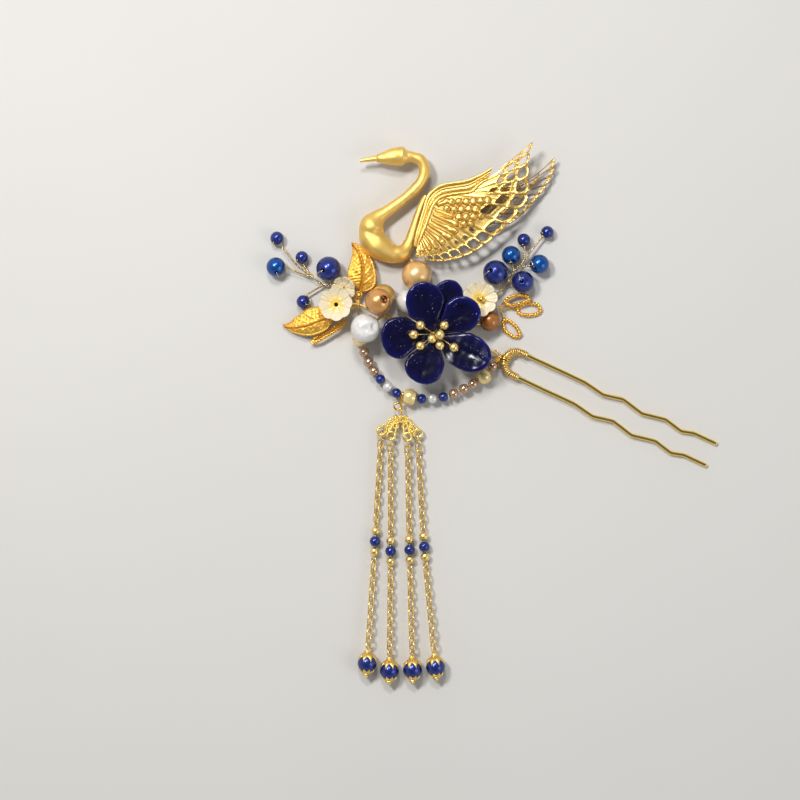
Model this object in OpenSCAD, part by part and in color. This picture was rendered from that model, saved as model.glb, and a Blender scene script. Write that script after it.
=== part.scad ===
// A jewelled hairpin, in millimetres: a two-prong U pin, wired to a cluster of pearls, shell
// flowers and a lapis flower, with a cast swan above, a swag of beads and a tassel of four chains.
// It lies on its back on the plane z = 0, and Z points at the viewer. X runs to the pin's tips,
// Y to the swan's head. The origin is under the middle of the whole object.

/* [Hair pin] */
// Length of the pin from the bend to the tips
pin_length = 76.74; // [70:0.02:82]
// Distance between the two prongs, middle to middle
pin_spread = 8; // [7.6:0.1:8.4]
// Diameter of the pin's wire
pin_wire = 1.3; // [1.1:0.1:1.4]
// Diameter of the fine wire wound round the bend
wrap_wire = 0.6; // [0.5:0.05:0.6]

/* [Pearls] */
// Diameter of the white baroque pearl
white_d = 9.8; // [9:0.1:9.8]
// Diameter of the peach gold pearl under the swan
gold_top_d = 10; // [9:0.1:10]
// Diameter of the bronze pearl whose hole faces the viewer
bronze_d = 8.8; // [8:0.1:8.8]
// Diameter of the gold pearl behind the bronze one
gold_back_d = 8.1; // [7.5:0.1:8.1]
// Diameter of the small white pearl beside the flower
white_small_d = 7.8; // [7:0.1:7.8]
// Diameter of the brown pearl at the right
brown_d = 7; // [6:0.1:7]

/* [Lapis flower] */
// Thickness of a petal in its middle
petal_thick = 2.4; // [1.8:0.1:2.5]
// How far a petal's rim stands up from its middle
petal_cup = 1.1; // [0.6:0.1:1.2]
// Diameter of a stamen's bead
stamen_d = 3; // [2.4:0.1:3]

/* [Shell flowers] */
// Diameter of the left shell flower
shell_left_d = 11.6; // [10:0.1:11.8]
// Diameter of the right shell flower
shell_right_d = 11.8; // [10:0.1:12]
// Thickness of the shell
shell_thick = 1.1; // [0.8:0.1:1.3]

/* [Swan] */
// Thickness of the wings' plates
wing_thick = 0.9; // [0.7:0.1:1.1]
// Height of the wings' ridges, scales and bars above the plate
wing_relief = 0.55; // [0.3:0.05:0.6]
// Thickness of the leaves
leaf_thick = 0.8; // [0.6:0.1:1]

/* [Beads] */
// Diameter of the copper beads on the swag
copper_d = 3.2; // [2.8:0.1:3.25]
// Diameter of the blue beads on the swag
blue_d = 3.3; // [2.8:0.1:3.35]
// Diameter of the white beads on the swag
swag_white_d = 3.5; // [3:0.1:3.6]
// Diameter of the gold spacer beads on the chains
spacer_d = 3; // [2.6:0.1:3.1]
// Diameter of the blue beads on the chains
chain_blue_d = 3.6; // [3:0.1:3.7]
// Diameter of the round drops
drop_d = 6.4; // [6:0.1:6.5]

/* [Chains] */
// Length of a chain link
link_length = 3.7; // [3.5:0.1:3.9]
// Width of a chain link
link_width = 2.5; // [2.3:0.1:2.6]
// Diameter of a link's wire
link_wire = 0.6; // [0.5:0.05:0.6]

/* [Hidden] */
strands = [1 : 4];

gold = "#d9a93a";
satin_gold = "#c99a3c";
copper = "#b4795c";
navy = "#232a6e";
teal = "#12508c";
lapis = "#171a5c";
white_pearl = "#f2efe8";
cream = "#e2c98a";
peach = "#d9a566";
shell_cream = "#efe6cf";

$fn = 32;
gap = 0.15;      // clearance between pieces that touch
bore_gap = 0.12; // clearance of a wire in a bead's hole
peg = 0.45;      // radius of the frame's wires
fine = 0.28;     // radius of the fine wires

// Vectors and smooth curves

function unit(v) = v / norm(v);

// A row of a table, held at its ends
function row(table, i) = table[min(max(i, 0), len(table) - 1)];

// Smooth blend through a table's rows, place s from 0 to its last row
function blend(table, s) =
    let (
        i = min(floor(s), len(table) - 2),
        f = s - i,
        a = row(table, i - 1),
        b = row(table, i),
        c = row(table, i + 1),
        d = row(table, i + 2)
    )
    b + (c - a) * (f / 2) + (2 * a - 5 * b + 4 * c - d) * (f * f / 2)
        + (3 * b - a - 3 * c + d) * (f * f * f / 2);

// The same, with places from 0 to 1 along the whole table
function along(table, t) = blend(table, t * (len(table) - 1));

// First three columns of a row, as a point
function place(r) = [r[0], r[1], r[2]];

// Skins: closed surfaces from rings of points that turn left round the way they travel

function ring_sides(m, n, joined) = [
    for (i = [0 : m - (joined ? 1 : 2)], k = [0 : n - 1])
        let (a = i * n, b = ((i + 1) % m) * n, q = (k + 1) % n)
        each [[a + k, b + k, b + q], [a + k, b + q, a + q]]
];

function ring_ends(m, n) = [
    for (k = [1 : n - 2])
        each [[0, k, k + 1], [(m - 1) * n, (m - 1) * n + k + 1, (m - 1) * n + k]]
];

module skin(rings) {
    m = len(rings);
    n = len(rings[0]);
    polyhedron([for (r = rings) each r], concat(ring_sides(m, n, false), ring_ends(m, n)));
}

module joined_skin(rings) {
    m = len(rings);
    n = len(rings[0]);
    polyhedron([for (r = rings) each r], ring_sides(m, n, true));
}

// A plate from two grids of points, tops and undersides, with quads left out where keep is false
module plate(tops, unders, keep) {
    m = len(tops);
    n = len(tops[0]);
    function inside(i, j) = i >= 0 && j >= 0 && i < m - 1 && j < n - 1 ? keep[i][j] : false;
    function corner(i, j) = i * n + j;
    // Edges of a quad that have no neighbour, each as two corners and the quad beyond it
    function rim(i, j) = [
        for (e = [
            [i, j, i + 1, j, i, j - 1],
            [i + 1, j, i + 1, j + 1, i + 1, j],
            [i + 1, j + 1, i, j + 1, i, j + 1],
            [i, j + 1, i, j, i - 1, j]
        ]) if (!inside(e[4], e[5])) [corner(e[0], e[1]), corner(e[2], e[3])]
    ];
    under = m * n;
    faces = [
        for (i = [0 : m - 2], j = [0 : n - 2]) if (inside(i, j))
            let (
                a = corner(i, j),
                b = corner(i + 1, j),
                c = corner(i + 1, j + 1),
                d = corner(i, j + 1)
            )
            each concat(
                [[a, d, c], [a, c, b]],
                [[under + a, under + b, under + c], [under + a, under + c, under + d]],
                [for (e = rim(i, j)) each [
                    [e[0], e[1], under + e[1]],
                    [e[0], under + e[1], under + e[0]]
                ]]
            )
    ];
    polyhedron(concat([for (r = tops) each r], [for (r = unders) each r]), faces);
}

// Wires, beads and rings

// Turns the Z axis of its children onto a direction, and starts them at a point
module aim(from, direction, roll = 0) {
    d = unit(direction);
    translate(from) rotate([0, acos(d.z), atan2(d.y, d.x)]) rotate([0, 0, roll]) children();
}

module rod(a, b, r) {
    aim(a, b - a) cylinder(h = norm(b - a), r = r);
}

// A round wire through points, with a slightly fuller ball at each bend and end
module wire(points, r) {
    for (i = [0 : len(points) - 2]) rod(points[i], points[i + 1], r);
    for (p = points) translate(p) sphere(r = r * 1.06);
}

module torus(ring_r, wire_r, angle = 360) {
    rotate_extrude(angle = angle) translate([ring_r, 0]) circle(r = wire_r);
}

// A thin wire through points, as one tube with flat sides. It never runs along its level direction.
tube_sides = 8;
module tube(points, r, level = [0, 0, 1]) {
    last = len(points) - 1;
    skin([for (i = [0 : last])
        let (
            t = unit(points[min(i + 1, last)] - points[max(i - 1, 0)]),
            across = unit(cross(level, t)),
            up = cross(t, across)
        )
        [for (k = [0 : tube_sides - 1])
            let (a = k * 360 / tube_sides)
            points[i] + r * (across * cos(a) + up * sin(a))]]);
}

// A round disc and a small ball with flat faces, to join tubes
module flat_disc(at, r, h) {
    skin([for (z = [-h / 2, h / 2]) [for (k = [0 : 15])
        at + [r * cos(k * 22.5), r * sin(k * 22.5), z]]]);
}

module flat_ball(at, r) {
    skin([for (b = [-75 : 50 : 75]) [for (k = [0 : 7])
        at + r * [cos(b) * cos(k * 45), cos(b) * sin(k * 45), sin(b)]]]);
}

// A round bead with a straight hole along a direction
module drilled_bead(at, d, way, hole_r) {
    aim(at, way) difference() {
        sphere(d = d, $fn = 48);
        cylinder(h = 2 * d, r = hole_r, center = true);
    }
}

// A pearl on a peg: a blind hole that runs past the middle, from the side that the peg comes from
module half_drilled(at, d, from, hole_r) {
    aim(at, from - at) difference() {
        sphere(d = d, $fn = 64);
        translate([0, 0, -d * 0.15]) cylinder(h = d, r = hole_r);
    }
}

// One chain link, long along Z, flat in the XZ plane
module link() {
    r = link_wire / 2;
    bend = link_width / 2 - r;
    half = link_length / 2 - r - bend;
    for (turn = [0, 180])
        rotate([turn, 0, 0]) translate([0, 0, half]) rotate([90, 0, 0]) torus(bend, r, 180);
    for (side = [-1, 1]) translate([side * bend, 0, -half]) cylinder(h = 2 * half, r = r);
}

// The hair pin: along its own X axis, with the bend's middle at its origin

pin_at = [8.0, 16.8, 1.9]; // the binding turns lift the bend off the surface
pin_turn = -25;
pin_tilt = 0.95;           // down to the tips, which touch the surface
pin_r = pin_wire / 2;
prong_y = pin_spread / 2;
prong_x = pin_length - prong_y - 2 * pin_r;
wrap_inner = pin_r + 0.1;
wrap_outer = pin_r + wrap_wire;
tip_straight = 8;

// Kinks of each prong: distance along the pin, distance out from its axis
UPPER_KINKS = [[23.2, 4.0], [30.4, 2.8], [37.2, 4.3], [44.9, 2.6], [53, 4.2], [59.3, 2.8]];
LOWER_KINKS = [[23.2, 4.0], [30.4, 5.2], [37.2, 3.7], [44.9, 5.4], [53, 3.8], [59.3, 5.2]];

module in_pin_frame() {
    translate(pin_at) rotate([0, pin_tilt, pin_turn]) children();
}

function prong(kinks, side) = concat(
    [[0, side * prong_y, 0]],
    [for (k = kinks) [k[0], side * k[1] * pin_spread / 8, 0]],
    [for (x = [prong_x - tip_straight, prong_x]) [x, side * prong_y, 0]]
);

module prong_wire(points) {
    for (i = [0 : len(points) - 2]) rod(points[i], points[i + 1], pin_r);
    for (i = [1 : len(points) - 2]) translate(points[i]) sphere(r = pin_r * 1.04);
    translate(points[len(points) - 1]) sphere(r = pin_r * 1.04);
}

module pin() {
    color(gold) in_pin_frame() {
        rotate([0, 0, 90]) torus(prong_y, pin_r, 180);
        prong_wire(prong(UPPER_KINKS, 1));
        prong_wire(prong(LOWER_KINKS, -1));
    }
}

// Fine wire wound round the bend: a hollow sleeve whose outside has a ridge for each turn
wrap_sides = 8;
wrap_steps = 34;
wrap_upper = 1.9; // how far the winding runs up each prong
wrap_lower = 2.4;

// A point on the pin's middle line, and the direction across it, at distance s from the upper end
function wrap_spot(s) =
    let (bend_end = wrap_upper + PI * prong_y)
    s < wrap_upper ? [[wrap_upper - s, prong_y, 0], [0, 1, 0]]
    : s > bend_end ? [[s - bend_end, -prong_y, 0], [0, -1, 0]]
    : let (a = 90 + (s - wrap_upper) / prong_y * 180 / PI)
      [[cos(a), sin(a), 0] * prong_y, [cos(a), sin(a), 0]];

function wrap_ring(s, r) =
    let (spot = wrap_spot(s))
    [for (k = [0 : wrap_sides - 1])
        let (a = -k * 360 / wrap_sides)
        spot[0] + spot[1] * r * cos(a) + [0, 0, r * sin(a)]];

module pin_wrap() {
    total = wrap_upper + wrap_lower + PI * prong_y;
    outside = [for (i = [0 : wrap_steps])
        wrap_ring(i * total / wrap_steps, i % 2 == 0 ? wrap_outer - 0.16 : wrap_outer)];
    inside = [for (i = [wrap_steps : -1 : 0]) wrap_ring(i * total / wrap_steps, wrap_inner / cos(22.5))];
    color(satin_gold) in_pin_frame() joined_skin(concat(outside, inside));
}

// Wire turns that tie the bend to the cluster, with a small bead cap that ends the swag
pin_dir = [cos(pin_turn) * cos(pin_tilt), sin(pin_turn) * cos(pin_tilt), -sin(pin_tilt)];
apex = pin_at - pin_dir * prong_y;
turn_r = wrap_outer + 0.35;
turn_wire = 0.26;
throat = apex - pin_dir * (turn_r + 0.25);
bridge_r = 0.4;    // the short bar that joins the two turns
end_cap_r = 1.25;
end_cap_start = 0.7;
end_cap_length = 1.8;

module pin_joint() {
    way = unit(SWAG_END - throat);
    cap_foot = throat + way * end_cap_start;
    color(gold) {
        in_pin_frame()
            for (side = [-0.36, 0.36])
                translate([-prong_y, side, 0]) rotate([90, 0, 0]) torus(turn_r, turn_wire);
        in_pin_frame() translate([-prong_y - turn_r - bridge_r / 2, 0, 0])
            rotate([90, 0, 0]) cylinder(h = 2.5 * bridge_r, r = bridge_r, center = true);
        rod(throat, cap_foot + way * 0.3, 0.3);
        difference() {
            aim(cap_foot, way) cylinder(h = end_cap_length, r1 = 0.4, r2 = end_cap_r);
            aim(cap_foot, way) translate([0, 0, 0.6])
                cylinder(h = end_cap_length, r1 = 0.25, r2 = end_cap_r + 0.45);
            for (lobe = [0 : 60 : 300])
                aim(cap_foot + way * end_cap_length, way, lobe) translate([end_cap_r, 0, 0])
                    rotate([0, 90, 0]) cylinder(h = 2, r = 0.35, center = true);
        }
    }
}

// Hidden binding wires behind the cluster: a hub under the flower, with a wire to each piece

hub = [-19, 26.5, 6.8];
hub_r = 3.2;
hub_thick = 1.2;
knot_r = 0.7;
left_stem = [-36, 33, 3.5];
left_knot = [-44.5, 36.5, 2.6];
right_knot = [-7, 35.5, 4.0];
loops_knot = [1.5, 35.5, 3.0];
joint_knot = [-1.5, 21.5, 3.0];

// Middles of the pearls
white_at = [-42.2, 28.3, 9.75];
gold_top_at = [-25.2, 46, gold_top_d / 2];
bronze_at = [-37.8, 37, 12.35];
bronze_mouth = unit([2.1, 0.8, 3.78]);
gold_back_at = [-36.2, 39.2, gold_back_d / 2];
white_small_at = [-28.2, 37.4, white_small_d / 2];
brown_at = [-0.9, 30.9, brown_d / 2];

// Middles of the shell flowers' backs, and the way they face
shell_left_at = [-52, 36.7, 5.4];
shell_left_face = unit([-0.12, 0.1, 1]);
shell_back_at = [-48.9, 42.2, 3.4];
shell_back_face = unit([-0.3, -0.35, 1]);
shell_right_at = [-3.9, 38.2, 5.2];
shell_right_face = unit([0.1, 0.1, 1]);

// Rings at the foot of each leaf
leaf_upper_ring = [-44.4, 39.7, 3.2];
leaf_lower_ring = [-51.4, 32.6, 2.8];

// A wire that goes through a bored pearl, from behind it to a place along the bore
function through(at, way, back, front) = [at - way * back, at + way * front];

module wire_frame() {
    gold_way = unit(gold_top_at - hub);
    joint_way = unit(joint_knot - throat);
    color(satin_gold) {
        flat_disc(hub, hub_r, hub_thick);
        tube([hub, left_stem, left_knot], peg);
        tube([left_stem, white_at], peg);
        tube([left_stem, gold_back_at], peg);
        tube(concat([left_stem], through(bronze_at, bronze_mouth, bronze_d / 2 + 0.7, 2.2)), peg);
        tube([hub, white_small_at], peg);
        tube([hub, gold_top_at + gold_way * 5.75], peg);
        tube([hub, brown_at], peg);
        tube([hub, [-16.5, 34.6, 5.5]], peg);
        tube([hub, right_knot, loops_knot], peg);
        tube([right_knot, shell_right_at - [0, 0, 1.6], shell_right_at + [0, 0, 0.4]], peg, [1, 0, 0]);
        tube([hub, joint_knot, throat + joint_way * 1.4], peg);
        tube([left_knot, shell_left_at - [0, 0, 1.6], shell_left_at + [0, 0, 0.4]], peg, [0, 1, 0]);
        tube(concat([left_knot], through(shell_back_at, shell_back_face, 1.5, 0.5)), peg, [1, 0, 0]);
        tube([left_knot, leaf_upper_ring - [0, 0, 1.6], leaf_upper_ring + [0, 0, 1.4]], peg, [1, 0, 0]);
        tube([left_knot, leaf_lower_ring - [0, 0, 1.4], leaf_lower_ring + [0, 0, 1.3]], peg, [0, 1, 0]);
        for (knot = [left_stem, left_knot, right_knot]) flat_ball(knot, knot_r);
    }
}

// Pearls

module pearl_white() {
    // Two shallow dents face the viewer
    color(white_pearl) difference() {
        half_drilled(white_at, white_d, left_stem, peg + bore_gap);
        for (dent = [[0.2, 0.1, 6.35], [3.3, 0.3, 5.6]]) translate(white_at + dent) sphere(r = 1.8);
    }
}

module pearl_gold_top() {
    color(peach) drilled_bead(gold_top_at, gold_top_d, gold_top_at - hub, peg + bore_gap);
}

module pearl_bronze() {
    mouth_r = 1.35;
    color(copper) aim(bronze_at, bronze_mouth) difference() {
        sphere(d = bronze_d, $fn = 64);
        cylinder(h = 2 * bronze_d, r = peg + bore_gap, center = true);
        translate([0, 0, 2.9]) cylinder(h = bronze_d, r = mouth_r);
    }
}

module pearl_gold_back() {
    color(peach) half_drilled(gold_back_at, gold_back_d, left_stem, peg + bore_gap);
}

module pearl_white_small() {
    color(white_pearl) half_drilled(white_small_at, white_small_d, hub, peg + bore_gap);
}

module pearl_brown() {
    color(copper) half_drilled(brown_at, brown_d, hub, peg + bore_gap);
}

// Lapis flower: six cupped petals, five round the middle and one behind them

flower = [-19.2, 26.4];
petal_sides = 22;
LEVELS = [0.06, 0.4, 0.75, 0.93, 1]; // rings from a petal's middle to its rim

// Columns: x, y and z of the middle, half length, half width, slope, inner end from the flower,
// and half the angle of the wedge that runs in to the flower
PETALS = [
    [-22.6, 37.3, 10.2, 6.3, 6.4, 0.12, 1.3, 31],
    [-14.8, 39.2, 7.7, 5.3, 5.1, 0.04, 5.2, 12],
    [-10.1, 33.0, 10.2, 6.0, 6.0, 0.12, 1.3, 29],
    [-31.3, 25.2, 10.1, 5.7, 6.9, 0.12, 1.3, 30],
    [-22.8, 15.6, 10.1, 5.7, 6.4, 0.12, 1.3, 30],
    [-8.2, 20.4, 10.0, 7.9, 6.2, 0.10, 1.3, 29]
];

// Distance from a petal's middle to its outline: an ellipse, and a wedge that ends at the flower
function petal_reach(p, a) =
    let (
        far = norm([p[0], p[1]] - flower),
        round_part = p[3] * p[4] / norm([p[4] * cos(a), p[3] * sin(a)]),
        off = abs(a - 180),
        wedge = off > 75 ? 0 : min(far * sin(p[7]) / sin(p[7] + off), (far - p[6]) / cos(off))
    )
    max(round_part, wedge);

// Height of a petal's middle layer at a place x outward and y across
function petal_rise(p, x, y) = p[5] * x + petal_cup * (y * y + pow(max(x, 0), 2)) / (p[4] * p[4]);

function petal_ring(p, level, side) = [
    for (k = [0 : petal_sides - 1])
        let (
            a = k * 360 / petal_sides,
            reach = petal_reach(p, a) * level,
            x = reach * cos(a),
            y = reach * sin(a)
        )
        [x, y, petal_rise(p, x, y) + side * petal_thick / 2 * sqrt(1 - pow(level, 4))]
];

module petal(k) {
    p = PETALS[k - 1];
    outward = [p[0], p[1]] - flower;
    color(lapis) translate(place(p)) rotate([0, 0, atan2(outward.y, outward.x)])
        skin(concat(
            [for (level = LEVELS) petal_ring(p, level, -1)],
            [for (i = [3 : -1 : 0]) petal_ring(p, LEVELS[i], 1)]
        ));
}

// Middles of the stamens' beads
STAMENS = [
    [-24.0, 29.3, 13.2], [-26.2, 26.2, 13.1], [-24.0, 22.5, 13.1], [-20.2, 24.8, 13.45],
    [-17.6, 26.1, 14.9], [-16.2, 29.2, 13.1], [-17.6, 22.6, 13.3], [-13.0, 22.0, 13.1]
];
stamen_foot = [-19.2, 26.4, 10];

module stamen_wires() {
    color(gold) {
        rod([hub.x, hub.y, hub.z + hub_thick / 2 + gap], stamen_foot, 0.5);
        wire([stamen_foot, stamen_foot + [0, 0, 0.5]], 0.5);
        for (s = STAMENS) wire([stamen_foot + [0, 0, 0.5], s], fine);
    }
}

module stamen_beads() {
    color(gold)
        for (s = STAMENS) half_drilled(s, stamen_d, stamen_foot + [0, 0, 0.5], fine + bore_gap);
}

// Shell flowers: drilled, cupped and scalloped discs

shell_sides = 28;

// Columns: distance out as a share of the radius, height as a share of the wall
SHELL_LOOP = [[0.17, 0], [0.5, 0], [0.8, 0], [1, 0.15], [1, 0.75], [0.8, 1], [0.5, 1], [0.17, 1]];

module shell_flower(at, face, d, lobes, cup) {
    scallop = 0.09;
    color(shell_cream) aim(at, face) joined_skin([
        for (s = SHELL_LOOP) [
            for (k = [0 : shell_sides - 1])
                let (
                    a = k * 360 / shell_sides,
                    dip = 1 - abs(cos(lobes * a / 2)),
                    out = d / 2 * s[0] * (1 - scallop * dip * s[0])
                )
                [out * cos(a), out * sin(a), cup * pow(s[0], 2.2) - 0.35 * dip * s[0] + s[1] * shell_thick]
        ]
    ]);
}

module shell_flower_left() {
    shell_flower(shell_left_at, shell_left_face, shell_left_d, 7, 2.0);
}

module shell_flower_back() {
    shell_flower(shell_back_at, shell_back_face, 8.2, 7, 1.5);
}

module shell_flower_right() {
    shell_flower(shell_right_at, shell_right_face, shell_right_d, 7, 2.0);
    color(gold) translate(shell_right_at + [0.8, 0, 2.45]) sphere(r = 0.95);
}

// Leaves: cast plates with a raised rib, side veins and a ring at the foot

leaf_steps = 19;
LEAF_ACROSS = [-1, -0.72, -0.42, -0.14, 0, 0.14, 0.42, 0.72, 1];

// Columns, from foot to tip: x and y of the rib, width to its right, width to its left, height
LEAF_UPPER = [
    [-43.9, 40.9, 0.9, 0.9, 3.2],
    [-43.1, 43.3, 4.0, 4.4, 3.4],
    [-42.8, 46.3, 4.2, 5.5, 3.3],
    [-43.0, 49.8, 3.5, 4.8, 2.9],
    [-44.0, 53.2, 2.4, 3.1, 2.3],
    [-45.4, 55.6, 1.3, 1.4, 1.7],
    [-46.8, 57.1, 0.2, 0.2, 1.3]
];
LEAF_LOWER = [
    [-52.4, 32.4, 0.9, 0.9, 2.8],
    [-55.1, 32.2, 3.6, 3.4, 3.2],
    [-58.3, 31.0, 4.9, 4.2, 3.3],
    [-61.4, 29.8, 4.6, 3.9, 2.9],
    [-65.4, 29.1, 3.0, 2.4, 2.2],
    [-67.8, 29.2, 1.3, 1.1, 1.7],
    [-69.7, 29.6, 0.2, 0.2, 1.3]
];

// A point of a leaf's upper face at u along the rib and v across, from -1 at the right to 1
function leaf_top(table, u, v) =
    let (
        r = along(table, u),
        ahead = along(table, min(u + 0.02, 1)) - along(table, max(u - 0.02, 0)),
        t = unit([ahead[0], ahead[1]]),
        reach = v < 0 ? r[2] * v : r[3] * v,
        vein = 0.22 * pow(cos(180 * (6 * u - 0.9 * abs(v))), 2) * (1 - abs(v)) * sqrt(u),
        rib = abs(v) < 0.05 ? 0.3 : 0,
        rim = abs(v) > 0.9 ? 0.1 : 0
    )
    [r[0] - t.y * reach, r[1] + t.x * reach, r[4] + 0.9 * (1 - v * v) * sin(180 * u) + vein + rib + rim];

module leaf(table, ring) {
    us = [for (i = [0 : leaf_steps]) i / leaf_steps];
    tops = [for (u = us) [for (v = LEAF_ACROSS) leaf_top(table, u, v)]];
    unders = [for (i = [0 : leaf_steps]) [for (j = [0 : 8])
        [tops[i][j].x, tops[i][j].y, along(table, us[i])[4] - leaf_thick
            + 0.9 * (1 - pow(LEAF_ACROSS[j], 2)) * sin(180 * us[i])]]];
    color(gold) {
        plate(tops, unders, [for (u = us) [for (v = LEAF_ACROSS) true]]);
        translate([ring.x, ring.y, ring.z - leaf_thick / 2]) torus(1.0, 0.3);
    }
}

module leaf_upper() {
    leaf(LEAF_UPPER, leaf_upper_ring);
}

module leaf_lower() {
    leaf(LEAF_LOWER, leaf_lower_ring);
}

// Swan: one solid casting from the beak to the arm of the wing, swept along its middle line

swan_sides = 14;
swan_steps = 52;

// Columns, from the beak's tip: x, y and z of the middle line, width, thickness
SWAN = [
    [-44.0, 84.1, 4.6, 0.9, 0.8],
    [-41.6, 84.5, 4.7, 1.6, 1.4],
    [-38.6, 85.0, 4.9, 2.3, 2.1],
    [-36.6, 85.4, 4.9, 4.2, 3.6],
    [-33.7, 85.9, 5.0, 5.8, 4.9],
    [-31.0, 85.9, 5.0, 5.6, 4.7],
    [-28.7, 85.6, 4.9, 4.2, 4.0],
    [-26.3, 85.4, 4.8, 3.7, 3.7],
    [-24.1, 84.4, 4.7, 3.6, 3.6],
    [-22.8, 82.4, 4.6, 3.5, 3.5],
    [-22.6, 79.9, 4.5, 3.6, 3.6],
    [-23.7, 77.0, 4.4, 3.6, 3.6],
    [-26.0, 74.3, 4.3, 3.6, 3.6],
    [-29.0, 71.7, 4.2, 3.5, 3.5],
    [-32.2, 69.3, 4.1, 3.6, 3.6],
    [-35.3, 67.2, 4.1, 4.0, 4.2],
    [-38.2, 65.0, 4.1, 5.4, 5.4],
    [-40.1, 61.8, 4.2, 8.2, 8.0],
    [-39.7, 58.2, 4.2, 8.4, 8.2],
    [-37.0, 55.1, 4.1, 7.6, 7.8],
    [-33.1, 53.3, 3.8, 6.4, 6.8],
    [-29.8, 53.7, 3.5, 5.6, 5.8],
    [-27.9, 56.2, 3.1, 4.2, 4.2],
    [-26.3, 60.6, 3.0, 3.2, 3.2],
    [-24.8, 65.6, 3.0, 2.8, 2.8],
    [-23.2, 70.2, 3.0, 2.2, 2.2],
    [-22.0, 72.6, 3.0, 1.4, 1.4]
];

module swan() {
    rings = [for (i = [0 : swan_steps])
        let (
            u = i / swan_steps,
            r = along(SWAN, u),
            ahead = along(SWAN, min(u + 0.01, 1)) - along(SWAN, max(u - 0.01, 0)),
            t = unit([ahead[0], ahead[1]])
        )
        [for (k = [0 : swan_sides - 1])
            let (a = (k + 0.5) * 360 / swan_sides)
            place(r) + r[3] / 2 * cos(a) * [-t.y, t.x, 0] + [0, 0, r[4] / 2 * sin(a)]]];
    color(satin_gold) skin(rings);
}

// Wings: a fan of feathers between an outer ridge, an inner ridge and the feathers' tips. Each
// feather has a bar and two half cells side by side. The cells of the outer rows are cut through.

// Columns, from the top feather to the lowest: outer ridge x, y; inner ridge x, y; tip x, y
WING_FRONT = [
    [-0.2, 81.5, -1.6, 77.9, 13.6, 90.4],
    [-3.5, 79.4, -4.6, 76.0, 12.1, 85.0],
    [-8.6, 77.2, -7.2, 73.6, 11.9, 78.4],
    [-13.4, 76.4, -12.2, 72.9, 11.6, 71.4],
    [-17.6, 75.4, -16.9, 71.9, 6.4, 64.4],
    [-21.2, 72.4, -19.4, 69.6, 0.6, 58.6],
    [-22.8, 67.6, -20.9, 66.2, -7.0, 53.2],
    [-24.2, 62.8, -22.4, 62.0, -14.8, 50.9],
    [-25.4, 58.6, -24.0, 58.2, -20.9, 50.9],
    [-26.0, 55.6, -25.0, 55.4, -25.6, 52.3]
];
WING_BACK = [
    [-4.0, 79.6, -3.0, 78.0, 20.6, 85.6],
    [-9.0, 75.4, -8.0, 74.0, 21.2, 80.6],
    [-14.0, 73.2, -13.0, 71.8, 17.8, 75.6],
    [-20.4, 71.0, -18.4, 69.8, 13.8, 70.6],
    [-22.75, 67.0, -21.2, 66.2, 8.4, 65.2],
    [-23.95, 62.4, -22.4, 62.0, 0.4, 60.4]
];

// Places along a feather, from the outer ridge at -1 over the inner ridge at 0 to the tip at 1
RIDGE_ROWS = [-1, -0.55, 0, 0.05];
SCALE_ROWS = [0.12, 0.2, 0.28, 0.36, 0.44];
CELL_ROWS = [0.5, 0.63, 0.68, 0.8, 0.84, 0.95, 1];
WING_ROWS = concat(RIDGE_ROWS, SCALE_ROWS, CELL_ROWS);
first_cell_row = 9;
wing_low = 5.5; // underside of the front wing at its ridges
wing_rise = 1.4; // how far its tips stand higher
back_low = 1.5;
back_sag = 5; // how far its top edge hangs under a straight line

// Share of the relief that stands at row j on line i: lines 0, 3, 6 and so on are the bars
function relief(i, j) =
    let (bar = i % 3 == 0, scale_row = j > 3 && j < first_cell_row)
    j == 0 || j == 2 ? 1.3
    : j == 1 ? 0.2
    : scale_row && j % 2 == 0 ? (bar ? 0.1 : 1)
    : scale_row ? 0.1
    : bar ? 1
    : 0.25;

module wing(table, feathers, low, rise, first_column, sag = 0) {
    lines = 3 * feathers;
    last = len(WING_ROWS) - 1;
    // A feather's tip is round: its bars end short of the middle of its cells
    function share(i, j) = j == last && i % 3 == 0 ? 0.45 + 0.55 * WING_ROWS[j - 1] : WING_ROWS[j];
    function drop(i, v) = sag * sin(180 * v) * pow(1 - i / lines, 2);
    function spot(i, j) =
        let (r = along(table, i / lines), v = share(i, j))
        v < 0 ? [r[2] + (r[2] - r[0]) * v, r[3] + (r[3] - r[1]) * v]
        : [r[2] + (r[4] - r[2]) * v, r[3] + (r[5] - r[3]) * v - drop(i, v)];
    function level(i, j) = low + rise * max(WING_ROWS[j], 0) * (1 - 0.6 * i / lines);
    tops = [for (i = [0 : lines]) [for (j = [0 : last])
        [each spot(i, j), level(i, j) + wing_thick + wing_relief * relief(i, j)]]];
    unders = [for (i = [0 : lines]) [for (j = [0 : last]) [each spot(i, j), level(i, j)]]];
    // Cells: two columns side by side between bars, rows 9, 11 and 13, fewer towards the root
    function cut(i, j) =
        i % 3 != 0 && j >= first_cell_row && (j - first_cell_row) % 2 == 0
        && j >= first_column + 2 * floor(3 * i / lines);
    color(gold) plate(tops, unders,
        [for (i = [0 : lines]) [for (j = [0 : last]) !cut(i, j)]]);
}

module wing_front() {
    wing(WING_FRONT, 15, wing_low, wing_rise, first_cell_row);
}

module wing_back() {
    wing(WING_BACK, 9, back_low, 1.2, first_cell_row, back_sag);
}

// Sprays: beads on twisted wire stems, lying on the surface

// Columns: x, y, diameter
LEFT_NAVY = [[-71.6, 58.5, 4.5], [-63.3, 52.1, 4.3], [-54.4, 48.2, 8.3], [-62.9, 37.4, 4.4]];
LEFT_TEAL = [[-71.9, 48.9, 6.4]];
RIGHT_NAVY = [[18.3, 60.5, 4.2], [10.5, 57.9, 4.4], [1.0, 47.0, 8.3], [10.1, 43.9, 7.4]];
RIGHT_TEAL = [[6.2, 52.8, 6.3], [15.6, 49.8, 6.5]];

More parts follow.
